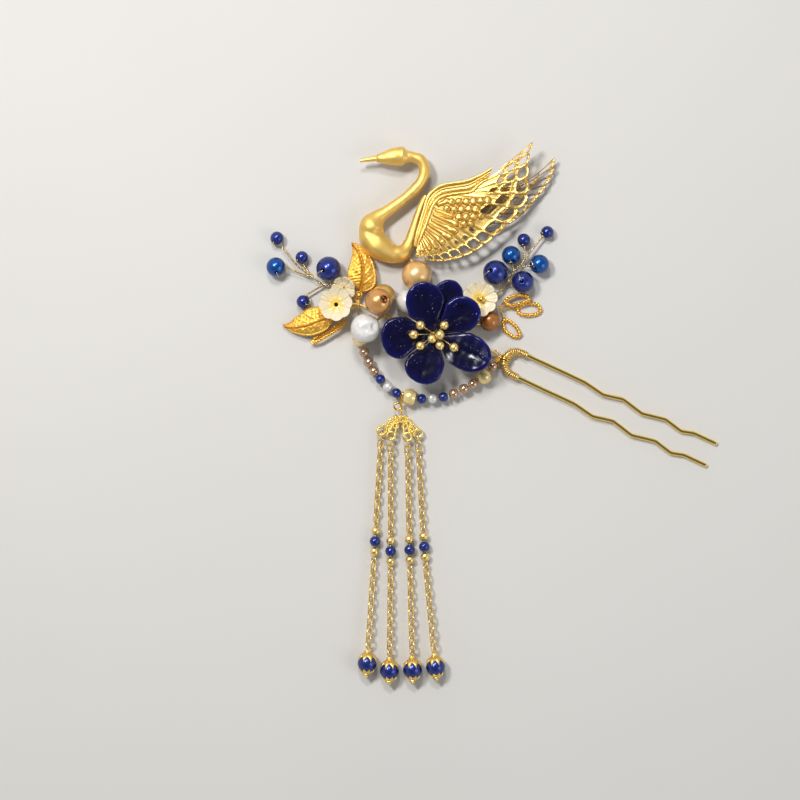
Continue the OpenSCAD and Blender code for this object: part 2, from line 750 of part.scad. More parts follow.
// A bead that rests on the surface
function resting(b) = [b[0], b[1], b[2] / 2];

left_start = [-46.2, 38.4, 1.2];
left_fork = [-59.6, 45.4, 2.2];
left_low_fork = [-56.3, 42.9, 1.9];
right_start = [-5.6, 36.2, 2.2];
right_fork = [10.7, 51.3, 2.5];
right_low_fork = [7.1, 47.3, 2.5];

module spray_left_stems() {
    color(gold) {
        tube([left_start, [-53.6, 42.6, 1.6], left_low_fork, left_fork], fine);
        tube([left_fork, [-65.6, 49.9, 2.2], [-70.1, 55.9, 2.2], resting(LEFT_NAVY[0])], fine);
        tube([left_fork, [-64.1, 46.9, 2.4], [-68, 48.6, 3.0], resting(LEFT_TEAL[0])], fine);
        tube([left_fork, [-62.4, 48.8, 2.2], resting(LEFT_NAVY[1])], fine);
        tube([[-53.6, 42.6, 1.6], resting(LEFT_NAVY[2])], fine);
        tube([left_low_fork, [-61.5, 39.9, 2.1], resting(LEFT_NAVY[3])], fine);
    }
}

module spray_right_stems() {
    color(gold) {
        tube([right_start, [2.7, 40.7, 2.4], right_low_fork, right_fork], fine);
        tube([right_fork, [15.9, 58, 2.3], resting(RIGHT_NAVY[0])], fine);
        tube([right_fork, [10.8, 54.9, 2.3], resting(RIGHT_NAVY[1])], fine);
        tube([[2.7, 40.7, 2.4], resting(RIGHT_NAVY[2])], fine);
        tube([[5.0, 44.1, 2.45], [6.2, 44.0, 2.9], resting(RIGHT_NAVY[3])], fine);
        tube([right_low_fork, resting(RIGHT_TEAL[0])], fine);
        tube([[8.6, 49.0, 2.5], [11.9, 49.2, 2.9], resting(RIGHT_TEAL[1])], fine);
    }
}

// A bead, with the place on its stem that its wire comes from
module stem_bead(b, from) {
    half_drilled(resting(b), b[2], from, fine + bore_gap);
}

module spray_navy_beads() {
    color(navy) {
        stem_bead(LEFT_NAVY[0], [-70.1, 55.9, 2.2]);
        stem_bead(LEFT_NAVY[1], [-62.4, 48.8, 2.2]);
        stem_bead(LEFT_NAVY[2], [-53.6, 42.6, 1.6]);
        stem_bead(LEFT_NAVY[3], [-61.5, 39.9, 2.1]);
        stem_bead(RIGHT_NAVY[0], [15.9, 58, 2.3]);
        stem_bead(RIGHT_NAVY[1], [10.8, 54.9, 2.3]);
        stem_bead(RIGHT_NAVY[2], [2.7, 40.7, 2.4]);
        stem_bead(RIGHT_NAVY[3], [6.2, 44.0, 2.9]);
    }
}

module spray_teal_beads() {
    color(teal) {
        stem_bead(LEFT_TEAL[0], [-68, 48.6, 3.0]);
        stem_bead(RIGHT_TEAL[0], right_low_fork);
        stem_bead(RIGHT_TEAL[1], [11.9, 49.2, 2.9]);
    }
}

// Loops of twisted wire: closed ovals whose thickness swells and shrinks with the twist

loop_sides = 6;
loop_steps = 24;
rope_r = 0.52;

// Columns: x, y, z, half length, half width, turn in the plane, tilt about the long axis
RIGHT_LOOPS = [
    [8.2, 37.9, 2.1, 4.0, 1.5, 10, 0],
    [12.3, 34.8, 0.75, 3.9, 1.9, 0, 0],
    [6.2, 28.5, 1.0, 3.6, 1.8, -45, 0]
];
LEFT_LOOPS = [[-54.4, 27.2, 1.9, 6.4, 1.6, 32, -50]];

module twist_loop(l) {
    color(gold) translate(place(l)) rotate([0, 0, l[5]]) rotate([l[6], 0, 0]) joined_skin([
        for (i = [0 : loop_steps - 1])
            let (
                a = i * 360 / loop_steps,
                out = unit([l[4] * cos(a), l[3] * sin(a), 0]),
                r = rope_r * (i % 2 == 0 ? 1 : 0.8)
            )
            [for (k = [0 : loop_sides - 1])
                let (b = -k * 360 / loop_sides)
                [l[3] * cos(a), l[4] * sin(a), 0] + out * r * cos(b) + [0, 0, r * sin(b)]]
    ]);
}

module twist_loops_right() {
    for (l = RIGHT_LOOPS) twist_loop(l);
    start = loops_knot + [0.85, 0, 0];
    color(gold) {
        tube([start, [3.6, 36.8, 2.2]], fine);
        tube([start, [5.2, 35.3, 0.9], [7.7, 34.9, 0.75]], fine);
        tube([start, [3.5, 33, 1.6], [3.5, 31.9, 1.0]], fine);
    }
}

module twist_loops_left() {
    for (l = LEFT_LOOPS) twist_loop(l);
    color(gold) tube([[-49.1, 30.5, 1.9], [-49.5, 32.5, 1.7]], fine);
}

// Swag: beads on one fine wire that hangs under the flower

swag_z = 2.9;
swag_wire_r = 0.25;
barrel_d = 5.7;
barrel_w = 3.9;
// Columns: x, y, half length of the straight stretch of wire inside the bead
SWAG = [
    [-43.8, 25.0, 2.4], [-42.6, 20.5, 1.2], [-41.1, 17.2, 1.2], [-39.3, 14.3, 1.2],
    [-37.2, 11.6, 1.2], [-34.7, 9.1, 1.2], [-31.9, 7.0, 1.2], [-27.5, 5.7, 2.0],
    [-23.5, 5.1, 1.2], [-19.9, 5.2, 1.2], [-16.3, 5.7, 1.2], [-12.8, 6.8, 1.2],
    [-9.4, 8.4, 1.2], [-6.4, 10.1, 1.2], [-2.8, 12.6, 2.2], [0.1, 15.9, 1.2]
];
COPPER_PLACES = [1, 2, 3, 11, 12, 13, 15];
BLUE_PLACES = [4, 6, 8, 10];
WHITE_PLACES = [5, 9];
ROUND_CREAM_PLACES = [0, 14];
barrel_place = 7;
SWAG_START = [[-44.6, 35.7, 2.2], [-44.9, 29.2, 2.9]]; // beside the left knot of the frame
swag_hole_r = 0.55;
SWAG_END = swag_point(len(SWAG) - 1);

function swag_point(i) =
    i < 0 ? SWAG_START[1]
    : i == len(SWAG) ? throat
    : [SWAG[i][0], SWAG[i][1], swag_z];
function swag_way(i) = unit(swag_point(i + 1) - swag_point(i - 1));

// The wire is straight inside each bead and bends between them
module swag_wire() {
    cap_floor = throat + unit(SWAG_END - throat) * (end_cap_start + 0.75);
    color(gold) tube(concat(
        SWAG_START,
        [for (i = [0 : len(SWAG) - 1], side = [-1, 1]) swag_point(i) + swag_way(i) * side * SWAG[i][2]],
        [cap_floor]
    ), swag_wire_r);
}

module swag_bead(i, d) {
    drilled_bead(swag_point(i), d, swag_way(i), swag_hole_r);
}

module swag_copper_beads() {
    color(copper) for (i = COPPER_PLACES) swag_bead(i, copper_d);
}

module swag_blue_beads() {
    color(navy) for (i = BLUE_PLACES) swag_bead(i, blue_d);
}

module swag_white_beads() {
    color(white_pearl) for (i = WHITE_PLACES) swag_bead(i, swag_white_d);
}

// Two round pearls and one barrel, whose flats face its neighbours
module swag_cream_beads() {
    color(cream) {
        for (i = ROUND_CREAM_PLACES) swag_bead(i, 5.3);
        intersection() {
            swag_bead(barrel_place, barrel_d);
            aim(swag_point(barrel_place), swag_way(barrel_place))
                cylinder(h = barrel_w, r = barrel_d, center = true);
        }
    }
}

// Tassel: a hook on the swag, a bead cap with four filigree arms, and four strands

hook_at = [-29.85, 6.39, swag_z];
hook_ring_r = 0.9;
hook_wire = 0.32;
crown_at = [-30.5, -1.2, 2.9];
crown_r = 1.35;
crown_h = 1.2;

module tassel_hook() {
    way = swag_way(barrel_place);
    down = [way.y, -way.x, 0]; // along the barrel's flat side
    head = [crown_at.x, crown_at.y - crown_h / 2 - 0.7, crown_at.z];
    color(gold) {
        aim(hook_at, way) torus(hook_ring_r, hook_wire);
        tube([hook_at + down * hook_ring_r, [-31.0, 2.6, swag_z], [-30.5, 0.5, swag_z], head], hook_wire);
        translate([-32.2, 2.6, swag_z]) torus(1.15, hook_wire);
        translate(head) sphere(r = 0.57);
    }
}

loop_r = 1.3;
loop_wire = 0.42;
small_loop_r = 0.62;
small_loop_wire = 0.3;

// Columns: x, y and z of the loop at an arm's end
ARMS = [[-36.9, -5.6, 2.3], [-33.75, -7.2, 3.0], [-28.2, -7.6, 3.0], [-24.8, -6.4, 2.3]];

module tassel_cap() {
    color(gold) {
        translate(crown_at) rotate([90, 0, 0]) difference() {
            cylinder(h = crown_h, r = crown_r, center = true);
            cylinder(h = crown_h + 1, r = hook_wire + bore_gap + 0.06, center = true);
        }
        for (arm = ARMS) {
            start = crown_at + [arm.x < crown_at.x ? -1.12 : 1.12, -crown_h / 2 + 0.2, 0];
            way = unit(arm - start);
            across = unit([-way.y, way.x, 0]);
            aim_end = arm - way * loop_r;
            for (side = [-1, 1])
                rod(start + across * side * 0.2, arm + across * side * loop_r, small_loop_wire);
            translate(start + (aim_end - start) * 0.72) torus(small_loop_r, small_loop_wire);
            translate(arm) torus(loop_r, loop_wire);
        }
    }
}

// Strands: a chain down to an eye pin with three beads, and a chain down to a capped drop

// Columns: middle of the blue bead x, y; middle of the drop x, y
STRANDS = [
    [-39.0, -42.3, -41.6, -82.7],
    [-33.8, -45.6, -34.2, -85.16],
    [-27.5, -45.1, -26.5, -84.8],
    [-22.6, -44.1, -18.9, -83.9]
];
drop_z = drop_d / 2 + 0.07; // the caps' points touch the surface
eye_r = 0.85;
eye_wire = 0.28;
cap_gap = 0.1;
cap_wall = 0.4;
collar_top = drop_d / 2 + 1.1;

link_r = link_wire / 2;
link_span = link_length - link_wire;         // between the middles of its two bends
link_slack = 0.12;
link_pitch = link_span - 2 * link_wire / 2 - 0.12;

function blue_at(k) = [STRANDS[k - 1][0], STRANDS[k - 1][1], chain_blue_d / 2 + 0.05];
function drop_at(k) = [STRANDS[k - 1][2], STRANDS[k - 1][3], drop_z];
function arm_at(k) = ARMS[k - 1];
function pin_way(k) = unit(drop_at(k) - arm_at(k)); // the way the eye pin and its beads lie
pin_half = chain_blue_d / 2 + spacer_d + 0.2; // from the blue bead's middle to a spacer's far side
pin_eye = pin_half + eye_wire + eye_r;
drop_eye = collar_top + 0.25 + eye_wire + eye_r;

// Number of links that span a length between two wires, and the turn of each link on its axis
function link_count(a, b, hold) =
    1 + ceil((norm(b - a) + 2 * hold - link_span) / link_pitch);
function link_turn(i, twist) = 90 * i + min(15 * i + twist, 45);

// A run of interlocked links from the wire at a to the wire at b
module run(a, b, held_r, twist) {
    way = unit(b - a);
    hold = link_r + held_r + link_slack;
    n = link_count(a, b, hold);
    step = (norm(b - a) + 2 * hold - link_span) / (n - 1);
    for (i = [0 : n - 1])
        aim(a + way * (i * step - hold + link_span / 2), way, link_turn(i, twist)) link();
}

module eye(at, way, roll) {
    aim(at, way, roll) rotate([90, 0, 0]) torus(eye_r, eye_wire);
}

module eye_stem(from, to) {
    rod(from, to, eye_wire * 0.94);
}

module chain(k) {
    upper_eye = blue_at(k) - pin_way(k) * pin_eye;
    lower_eye = blue_at(k) + pin_way(k) * pin_eye;
    upper_way = unit(upper_eye - arm_at(k));
    lower_way = drop_way(k);
    drop_ring = drop_at(k) - lower_way * drop_eye;
    top = arm_at(k) + upper_way * loop_r;
    upper_end = upper_eye - upper_way * eye_r;
    lower_end = drop_ring - lower_way * eye_r;
    head = drop_at(k) + lower_way * (drop_d / 2 + 1.15);
    n = link_count(top, upper_end, link_r + loop_wire + link_slack);
    m = link_count(lower_eye + lower_way * eye_r, lower_end, link_r + eye_wire + link_slack);
    color(gold) {
        run(top, upper_end, loop_wire, 0);
        eye(upper_eye, pin_way(k), link_turn(n - 1, 0) + 90);
        eye_stem(upper_eye + pin_way(k) * eye_r, lower_eye - pin_way(k) * eye_r);
        eye(lower_eye, pin_way(k), link_turn(0, 45) + 90);
        run(lower_eye + lower_way * eye_r, lower_end, eye_wire, 45);
        eye(drop_ring, lower_way, link_turn(m - 1, 45) + 90);
        eye_stem(drop_ring + lower_way * eye_r, head);
        translate(head) sphere(r = 0.55);
    }
}

module gold_beads(k) {
    off = (chain_blue_d + spacer_d) / 2 + 0.1;
    color(gold) for (side = [-1, 1])
        drilled_bead(blue_at(k) + pin_way(k) * side * off, spacer_d, pin_way(k), eye_wire + bore_gap);
}

module blue_bead(k) {
    color(navy) drilled_bead(blue_at(k), chain_blue_d, pin_way(k), eye_wire + bore_gap);
}

function drop_way(k) = unit(drop_at(k) - blue_at(k) - pin_way(k) * pin_eye);

module drop_bead(k) {
    color(navy) drilled_bead(drop_at(k), drop_d, drop_way(k), eye_wire + bore_gap);
}

// A star with sharp points, for the edge of a bead cap
module star(points, tip_r, notch_r) {
    polygon([for (i = [0 : 2 * points - 1])
        let (r = i % 2 == 0 ? tip_r : notch_r)
        r * [cos(i * 180 / points), sin(i * 180 / points)]]);
}

module star_cap(at, way, tip_r, notch_r, collar) {
    inner_r = drop_d / 2 + cap_gap;
    aim(at, way, 22.5) difference() {
        union() {
            intersection() {
                sphere(r = inner_r + cap_wall, $fn = 48);
                translate([0, 0, 0.3]) linear_extrude(height = drop_d) star(8, tip_r, notch_r);
            }
            translate([0, 0, inner_r]) cylinder(h = collar - inner_r, r1 = 1.1, r2 = 0.75);
        }
        sphere(r = inner_r, $fn = 48);
        cylinder(h = 2 * drop_d, r = eye_wire + bore_gap);
    }
}

module drop_caps(k) {
    tip_r = (drop_d / 2 + cap_gap + cap_wall) * 0.94;
    color(gold) {
        star_cap(drop_at(k), -drop_way(k), tip_r, tip_r * 0.62, collar_top);
        star_cap(drop_at(k), drop_way(k), tip_r * 0.8, tip_r * 0.5, drop_d / 2 + 0.6);
    }
}

pin();
pin_wrap();
pin_joint();
wire_frame();
swan();
wing_front();
wing_back();
leaf_upper();
leaf_lower();
for (k = [1 : 6]) petal(k);
stamen_wires();
stamen_beads();
pearl_white();
pearl_gold_top();
pearl_bronze();
pearl_gold_back();
pearl_white_small();
pearl_brown();
shell_flower_left();
shell_flower_back();
shell_flower_right();
spray_left_stems();
spray_right_stems();
spray_navy_beads();
spray_teal_beads();
twist_loops_right();
twist_loops_left();
swag_wire();
swag_copper_beads();
swag_blue_beads();
swag_white_beads();
swag_cream_beads();
tassel_hook();
tassel_cap();
for (k = strands) chain(k);
for (k = strands) gold_beads(k);
for (k = strands) blue_bead(k);
for (k = strands) drop_bead(k);
for (k = strands) drop_caps(k);
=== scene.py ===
# A jewelled hairpin lying on its back: swan, pearls, lapis and shell flowers, a bead swag and a
# chain tassel. Lengths in this file are millimetres, and a mesh is turned to metres when it is made.
import math
import bpy
import numpy as np
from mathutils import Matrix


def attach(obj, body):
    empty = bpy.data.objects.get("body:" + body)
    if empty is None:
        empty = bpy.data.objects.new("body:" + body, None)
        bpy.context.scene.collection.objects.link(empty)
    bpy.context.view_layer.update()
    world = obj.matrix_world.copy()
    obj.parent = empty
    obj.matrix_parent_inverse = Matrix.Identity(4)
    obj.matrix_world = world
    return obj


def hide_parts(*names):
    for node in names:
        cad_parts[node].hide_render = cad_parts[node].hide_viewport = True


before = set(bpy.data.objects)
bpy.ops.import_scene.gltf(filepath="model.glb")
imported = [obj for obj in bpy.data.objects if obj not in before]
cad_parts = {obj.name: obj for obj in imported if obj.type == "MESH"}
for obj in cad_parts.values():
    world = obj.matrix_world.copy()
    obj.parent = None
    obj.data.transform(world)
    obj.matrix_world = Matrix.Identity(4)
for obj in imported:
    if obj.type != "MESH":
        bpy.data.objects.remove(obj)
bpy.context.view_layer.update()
print("frame loaded,", len(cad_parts), "nodes")
tau = 2 * math.pi
mm = 0.001

# Numbers and arrays of points

def unit(v):
    # each vector divided by its length
    v = np.asarray(v, float)
    return v / np.maximum(np.linalg.norm(v, axis=-1, keepdims=True), 1e-12)


def hump(x, middle, width):
    # bell curve, 1 at the middle: exp(-((x - middle) / width)^2)
    return np.exp(-((x - middle) / width) ** 2)


def ramp(x, start, end):
    # 0 up to start, 1 from end on, and straight between them
    return np.clip((x - start) / (end - start), 0, 1)


def circle(n):
    # n angles evenly round a circle
    return np.arange(n) * tau / n


def blend(table, s):
    # smooth curve through a table's rows at places s, with level slopes held at both ends
    table = np.asarray(table, float)
    s = np.atleast_1d(np.asarray(s, float))
    i = np.clip(np.floor(s).astype(int), 0, len(table) - 2)
    f = (s - i)[:, None]
    a, b, c, d = (table[np.clip(i + k, 0, len(table) - 1)] for k in (-1, 0, 1, 2))
    return (b + (c - a) * f / 2 + (2 * a - 5 * b + 4 * c - d) * f ** 2 / 2
            + (3 * b - a - 3 * c + d) * f ** 3 / 2)


def along(table, t):
    # the same curve with t from 0 to 1 over the whole table
    return blend(table, np.asarray(t) * (len(table) - 1))


def heading(table, t, reach):
    # flat direction of the curve at t, from reach before it to reach after it
    return unit((along(table, np.minimum(t + reach, 1)) - along(table, np.maximum(t - reach, 0)))[:, :2])


def turnMatrix(axis, angle):
    # matrix that turns points about X, Y or Z
    c, s = math.cos(angle), math.sin(angle)
    i, j = {"X": (1, 2), "Y": (2, 0), "Z": (0, 1)}[axis]
    m = np.eye(3)
    m[i, i], m[i, j], m[j, i], m[j, j] = c, -s, s, c
    return m


def aimed(points, at, way, roll=0.0):
    # turns Z onto way after a roll about Z in degrees, then moves the origin to at
    w = unit(way)
    m = (turnMatrix("Z", math.atan2(w[1], w[0])) @ turnMatrix("Y", math.acos(w[2]))
         @ turnMatrix("Z", math.radians(roll)))
    return points @ m.T + np.asarray(at, float)


def noise3(points, scale, seed):
    # smooth noise from -1 to 1: eight crossing sine waves of the given wavelength
    rng = np.random.default_rng(seed)
    k = unit(rng.normal(size=(8, 3))) * 2 * np.pi / scale * rng.uniform(0.6, 1.5, (8, 1))
    return np.sin(points @ k.T + rng.uniform(0, 6.28, 8)).mean(-1) * 2.0


def runLength(points):
    # length along a chain of straight pieces up to each of its points
    return np.concatenate([[0], np.cumsum(np.linalg.norm(np.diff(points, axis=0), axis=1))])


def evenly(points, count):
    # a number of points at even steps along the chain
    s = runLength(points)
    t = np.linspace(0, s[-1], count)
    return np.stack([np.interp(t, s, points[:, k]) for k in range(3)], -1)


def softened(points, step, width):
    # the same chain at even steps with its corners rounded: each point is the mean of its neighbours
    # within width
    points = np.asarray(points, float)
    points = evenly(points, int(runLength(points)[-1] / step) + 1)
    k = max(int(width / step), 1)
    window = np.hanning(2 * k + 3)[1:-1]
    window /= window.sum()
    padded = np.concatenate([2 * points[0] - points[k:0:-1], points, 2 * points[-1] - points[-2:-k - 2:-1]])
    return np.stack([np.convolve(padded[:, c], window, "valid") for c in range(3)], -1)


# Surfaces: a part is (points, quads, triangles, tone), tone being one number for each point

def sheetPart(grid, closedRows=False, closedColumns=False, capped=False, tone=None):
    # quads between neighbours of a grid of points; columns turn left round the way the rows run; a cap
    # is a fan of triangles round the mean of the first or last row
    grid = np.asarray(grid, float)
    m, n = grid.shape[:2]
    i = np.arange(m if closedRows else m - 1)[:, None]
    j = np.arange(n if closedColumns else n - 1)[None, :]
    i2, j2 = (i + 1) % m, (j + 1) % n
    quads = np.stack([i * n + j, i * n + j2, i2 * n + j2, i2 * n + j], -1).reshape(-1, 4)
    points = grid.reshape(-1, 3)
    tone = np.zeros(m) if tone is None else np.asarray(tone, float)
    tones = np.broadcast_to(tone[:, None] if tone.ndim == 1 else tone, (m, n)).reshape(-1)
    tris = np.zeros((0, 3), int)
    k = np.arange(n)
    last = (m - 1) * n
    for start, rim in (((0, ((k + 1) % n, k)), (last, (last + k, last + (k + 1) % n))) if capped else ()):
        tris = np.concatenate([tris, np.stack([np.full(n, len(points)), *rim], -1)])
        points = np.concatenate([points, grid[start // n].mean(0)[None]])
        tones = np.append(tones, tones[start:start + n].mean())
    return points, quads, tris, tones


def joined(parts):
    # several parts as one
    starts = np.cumsum([0] + [len(part[0]) for part in parts])
    points, tones = (np.concatenate([part[k] for part in parts]) for k in (0, 3))
    quads, tris = (np.concatenate([part[k] + start for part, start in zip(parts, starts)]) for k in (1, 2))
    return points, quads, tris, tones


def reshaped(part, points):
    # the same part with its points moved
    return (points, *part[1:])


def moved(part, at, way=(0, 0, 1), roll=0.0):
    # a part with its Z axis turned onto way
    return reshaped(part, aimed(part[0], at, way, roll))


def sideAndTop(path, up=(0, 0, 1), closed=False):
    # at each point of a path, the level line across it and the line at right angles to both
    t = unit(np.roll(path, -1, 0) - np.roll(path, 1, 0) if closed else np.gradient(path, axis=0))
    side = unit(np.cross(np.broadcast_to(np.asarray(up, float), path.shape), t))
    return side, np.cross(t, side)


def tubePart(path, radius, sides=8, up=(0, 0, 1), closed=False, tone=None):
    # ring round each point of a path: path + radius (side cos a + top sin a)
    path = np.asarray(path, float)
    side, top = sideAndTop(path, up, closed)
    a = circle(sides)[:, None]
    r = np.broadcast_to(np.asarray(radius, float), (len(path),))[:, None, None]
    grid = path[:, None] + r * (side[:, None] * np.cos(a) + top[:, None] * np.sin(a))
    return sheetPart(grid, closed, True, not closed, tone)


def wirePart(points, radius, sides=8, up=(0, 0, 1)):
    # a tube along the smooth curve through a few points, six steps between two of them
    points = np.asarray(points, float)
    if len(points) > 2:
        points = along(points, np.linspace(0, 1, 6 * (len(points) - 1) + 1))
    return tubePart(points, radius, sides, up)


def twistedPart(path, wound, turns, strand, sides, closed=False):
    # two wires wound round each other: path + wound (side cos a + top sin a), a = turns
    side, top = sideAndTop(path, closed=closed)
    n = len(path)
    a = circle(n) * turns if closed else np.linspace(0, tau * turns, n)
    parts = []
    for start in (0, np.pi):
        off = side * np.cos(a + start)[:, None] + top * np.sin(a + start)[:, None]
        parts.append(tubePart(path + wound * off, strand, sides, closed=closed))
    return joined(parts)


def turnedPart(profile, sides=32, closed=True, tone=None, ribs=0.0):
    # a profile of radius and height, that runs up on the outside, turned round Z; ribs: the share that
    # twelve ribs add to the radius
    profile = np.asarray(profile, float)
    a = circle(sides)
    r = profile[:, :1] * (1 + ribs * np.cos(12 * a))
    grid = np.stack([r * np.cos(a), r * np.sin(a), profile[:, 1:] + 0 * r], -1)
    return sheetPart(grid, closed, True, not closed, tone)


def arc(r, first, last, count):
    # profile points on a circle, between two angles from the top
    a = np.linspace(first, last, count)
    return np.stack([r * np.sin(a), r * np.cos(a)], -1)


def lipArc(hole, z, lip, first, count):
    # profile points of a hole's round lip, from the outside down into the hole
    b = np.linspace(first, 1, count) * np.pi / 2
    return np.stack([hole + lip * (1 - np.sin(b)), z - lip * (1 - np.cos(b))], -1)


def beadPart(at, d, way, hole=0.4, rings=18, sides=32):
    # a round bead with a hole along way: circle, lip, straight hole and lip; tone marks the hole, which the materials
    # darken as painted shade
    r, lip = d / 2, d * 0.06
    low = math.asin(min((hole + lip) / r, 0.95))
    outside = arc(r, np.pi - low, low, rings)
    z = outside[-1, 1]
    upper = lipArc(hole, z, lip, 0.25, 4)
    inside = np.stack([np.full(5, hole), np.linspace(1, -1, 5) * (z - lip * 1.4)], -1)
    profile = np.concatenate([outside, upper, inside, upper[::-1] * [1, -1]])
    return moved(turnedPart(profile, sides, True, profile[:, 0] < hole + 0.02), at, way)


def boredBall(at, d, way, hole, rings=26, sides=40):
    # a ball with a blind hole towards way: circle, lip and hole; tone marks the hole, which the materials darken as
    # painted shade
    r, lip, floor = d / 2, d * 0.035, -0.15 * d
    edge = math.asin((hole + lip) / r)
    z = r * math.cos(edge)
    profile = np.concatenate([arc(r, np.pi - 0.03, edge, rings), lipArc(hole, z, lip, 0.3, 3),
                              [(hole, z - lip * 2), (hole, 0.0), (hole, floor)]])
    bored = (profile[:, 0] < hole + 0.01) & (np.arange(len(profile)) > 6)
    return moved(turnedPart(profile, sides, False, bored), at, way)


def ballPart(at, d, rings=12, sides=20, squash=(1, 1, 1)):
    # a plain small ball
    points, *faces = turnedPart(arc(d / 2, np.pi, 0, rings + 1)[1:-1], sides, False)
    points[-2:] = (0, 0, -d / 2), (0, 0, d / 2)
    return (points * squash + np.asarray(at, float), *faces)


def ringPart(at, ringR, wireR, way=(0, 0, 1), roll=0.0, steps=24, sides=8):
    # a closed ring of round wire, flat across way
    a = circle(steps)
    path = np.stack([ringR * np.cos(a), ringR * np.sin(a), 0 * a], -1)
    return moved(tubePart(path, wireR, sides, closed=True), at, way, roll)


# Making objects

finishes, made = {}, []          # material and record slot of each finish; name and triangles of each piece


def makePiece(name, parts, finish, node=None, sharp=0, inner=None):
    # one mesh object in metres that replaces a node, smooth where faces meet at less than the sharp
    # angle; inner is the finish of its last part
    points, quads, tris, tones = joined(parts)
    mesh = bpy.data.meshes.new(name)
    mesh.vertices.add(len(points))
    mesh.vertices.foreach_set("co", (points * mm).astype(np.float32).ravel())
    corners = np.concatenate([quads.ravel(), tris.ravel()]).astype(np.int32)
    sizes = np.repeat([4, 3], [len(quads), len(tris)]).astype(np.int32)
    mesh.loops.add(len(corners))
    mesh.loops.foreach_set("vertex_index", corners)
    mesh.polygons.add(len(sizes))
    mesh.polygons.foreach_set("loop_start", (np.cumsum(sizes) - sizes).astype(np.int32))
    mesh.polygons.foreach_set("use_smooth", np.ones(len(sizes), bool))
    mesh.attributes.new("tone", "FLOAT", "POINT").data.foreach_set("value", tones.astype(np.float32))
    material, slot = finishes[finish]
    mesh.materials.append(material)
    if inner:
        mesh.materials.append(finishes[inner][0])
        index = np.zeros(len(sizes), np.int32)
        index[len(quads) - len(parts[-1][1]):len(quads)] = 1
        index[len(sizes) - len(parts[-1][2]):] = 1
        mesh.polygons.foreach_set("material_index", index)
    mesh.update(calc_edges=True)
    mesh.validate()
    if sharp:
        mesh.set_sharp_from_angle(angle=math.radians(sharp))
    piece = bpy.data.objects.new(name, mesh)
    bpy.context.scene.collection.objects.link(piece)
    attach(piece, "root")
    if node:
        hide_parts(node)
    made.append((name, len(quads) * 2 + len(tris)))


# Materials

def nodeMaker(tree):
    # a short way to add a node: its properties, and its sockets by name or, as i0 and so on, by number
    def add(kind, properties=None, **sockets):
        node = tree.nodes.new("ShaderNode" + kind)
        node.location = (len(tree.nodes) * 200 - 2000, len(tree.nodes) % 4 * -260)
        for key, value in (properties or {}).items():
            setattr(node, key, value)
        for key, value in sockets.items():
            socket = node.inputs[int(key[1:]) if key[1:].isdigit() else key.replace("_", " ")]
            if isinstance(value, bpy.types.NodeSocket):
                tree.links.new(value, socket)
            else:
                socket.default_value = (*value, 1.0) if socket.type == "RGBA" else value
        return node.outputs
    return add


def mathNode(add, operation, *values, clamp=False):
    sockets = {"i%d" % k: value for k, value in enumerate(values)}
    return add("Math", {"operation": operation, "use_clamp": clamp}, **sockets)[0]


def rampNode(add, value, start, end, low=0.0, high=1.0):
    # low up to start, high from end on
    return add("MapRange", Value=value, From_Min=start, From_Max=end, To_Min=low, To_Max=high)[0]


def mixNode(add, share, a, b):
    # a colour between a and b
    return add("Mix", {"data_type": "RGBA"}, i0=share, i6=a, i7=b)[2]


def noiseNode(add, scale, detail, **more):
    return add("TexNoise", Vector=add("TexCoord")["Object"], Scale=scale, Detail=detail, **more)["Fac"]


def toneNode(add):
    return add("Attribute", {"attribute_name": "tone"})["Fac"]


def newGroup(name, inputs, outputs):
    # a node group with named number sockets; outputs is called with a node maker and the inputs, and
    # gives the sources of the outputs
    group = bpy.data.node_groups.new(name, "ShaderNodeTree")
    for key, value in inputs.items():
        socket = group.interface.new_socket(key, in_out="INPUT", socket_type="NodeSocketFloat")
        socket.default_value = value
    sources = outputs(nodeMaker(group), group.nodes.new("NodeGroupInput").outputs)
    for key in sources:
        group.interface.new_socket(key, in_out="OUTPUT", socket_type="NodeSocketFloat")
    out = group.nodes.new("NodeGroupOutput")
    for key, source in sources.items():
        group.links.new(source, out.inputs[key])
    return group


def castNodes(add, given):
    # Stain = broad noise, Height = fine noise x Grain + Stain x Wave, Polish = noise in streaks
    broad = noiseNode(add, given["Broad"], 3.0)
    fine = noiseNode(add, given["Fine"], 4.0, Roughness=0.6)
    streak = noiseNode(add, given["Broad"], 5.0, Roughness=0.7, Distortion=1.2)
    grain = mathNode(add, "MULTIPLY", fine, given["Grain"])
    wave = mathNode(add, "MULTIPLY", broad, given["Wave"])
    return {"Stain": broad, "Height": mathNode(add, "ADD", grain, wave), "Polish": streak}


def shadeAndEdgeNodes(add, given):
    # Hollow = how much painted shade a place gets, from its tone and how hollow the surface curves; Edge = how sharply
    # it curves outwards
    curve = add("NewGeometry")["Pointiness"]
    deep = mathNode(add, "MAXIMUM", toneNode(add), rampNode(add, curve, 0.48, 0.40))
    return {"Hollow": mathNode(add, "MULTIPLY", deep, given["Strength"], clamp=True),
            "Edge": rampNode(add, curve, 0.52, 0.62)}


castGroup = newGroup("castSurface", {"Broad": 300.0, "Fine": 4000.0, "Grain": 0.3, "Wave": 0.3}, castNodes)
shadeAndEdgeGroup = newGroup("hollows", {"Strength": 1.0}, shadeAndEdgeNodes)


def newMaterial(name, slot, broad, fine, grain, wave):
    # a material with an empty tree, stored as a finish, and the cast surface's numbers in it
    material = bpy.data.materials.new(name)
    material.use_nodes = True
    material.node_tree.nodes.clear()
    finishes[name] = (material, slot)
    add = nodeMaker(material.node_tree)
    return add, add("Group", {"node_tree": castGroup}, Broad=broad, Fine=fine, Grain=grain, Wave=wave)


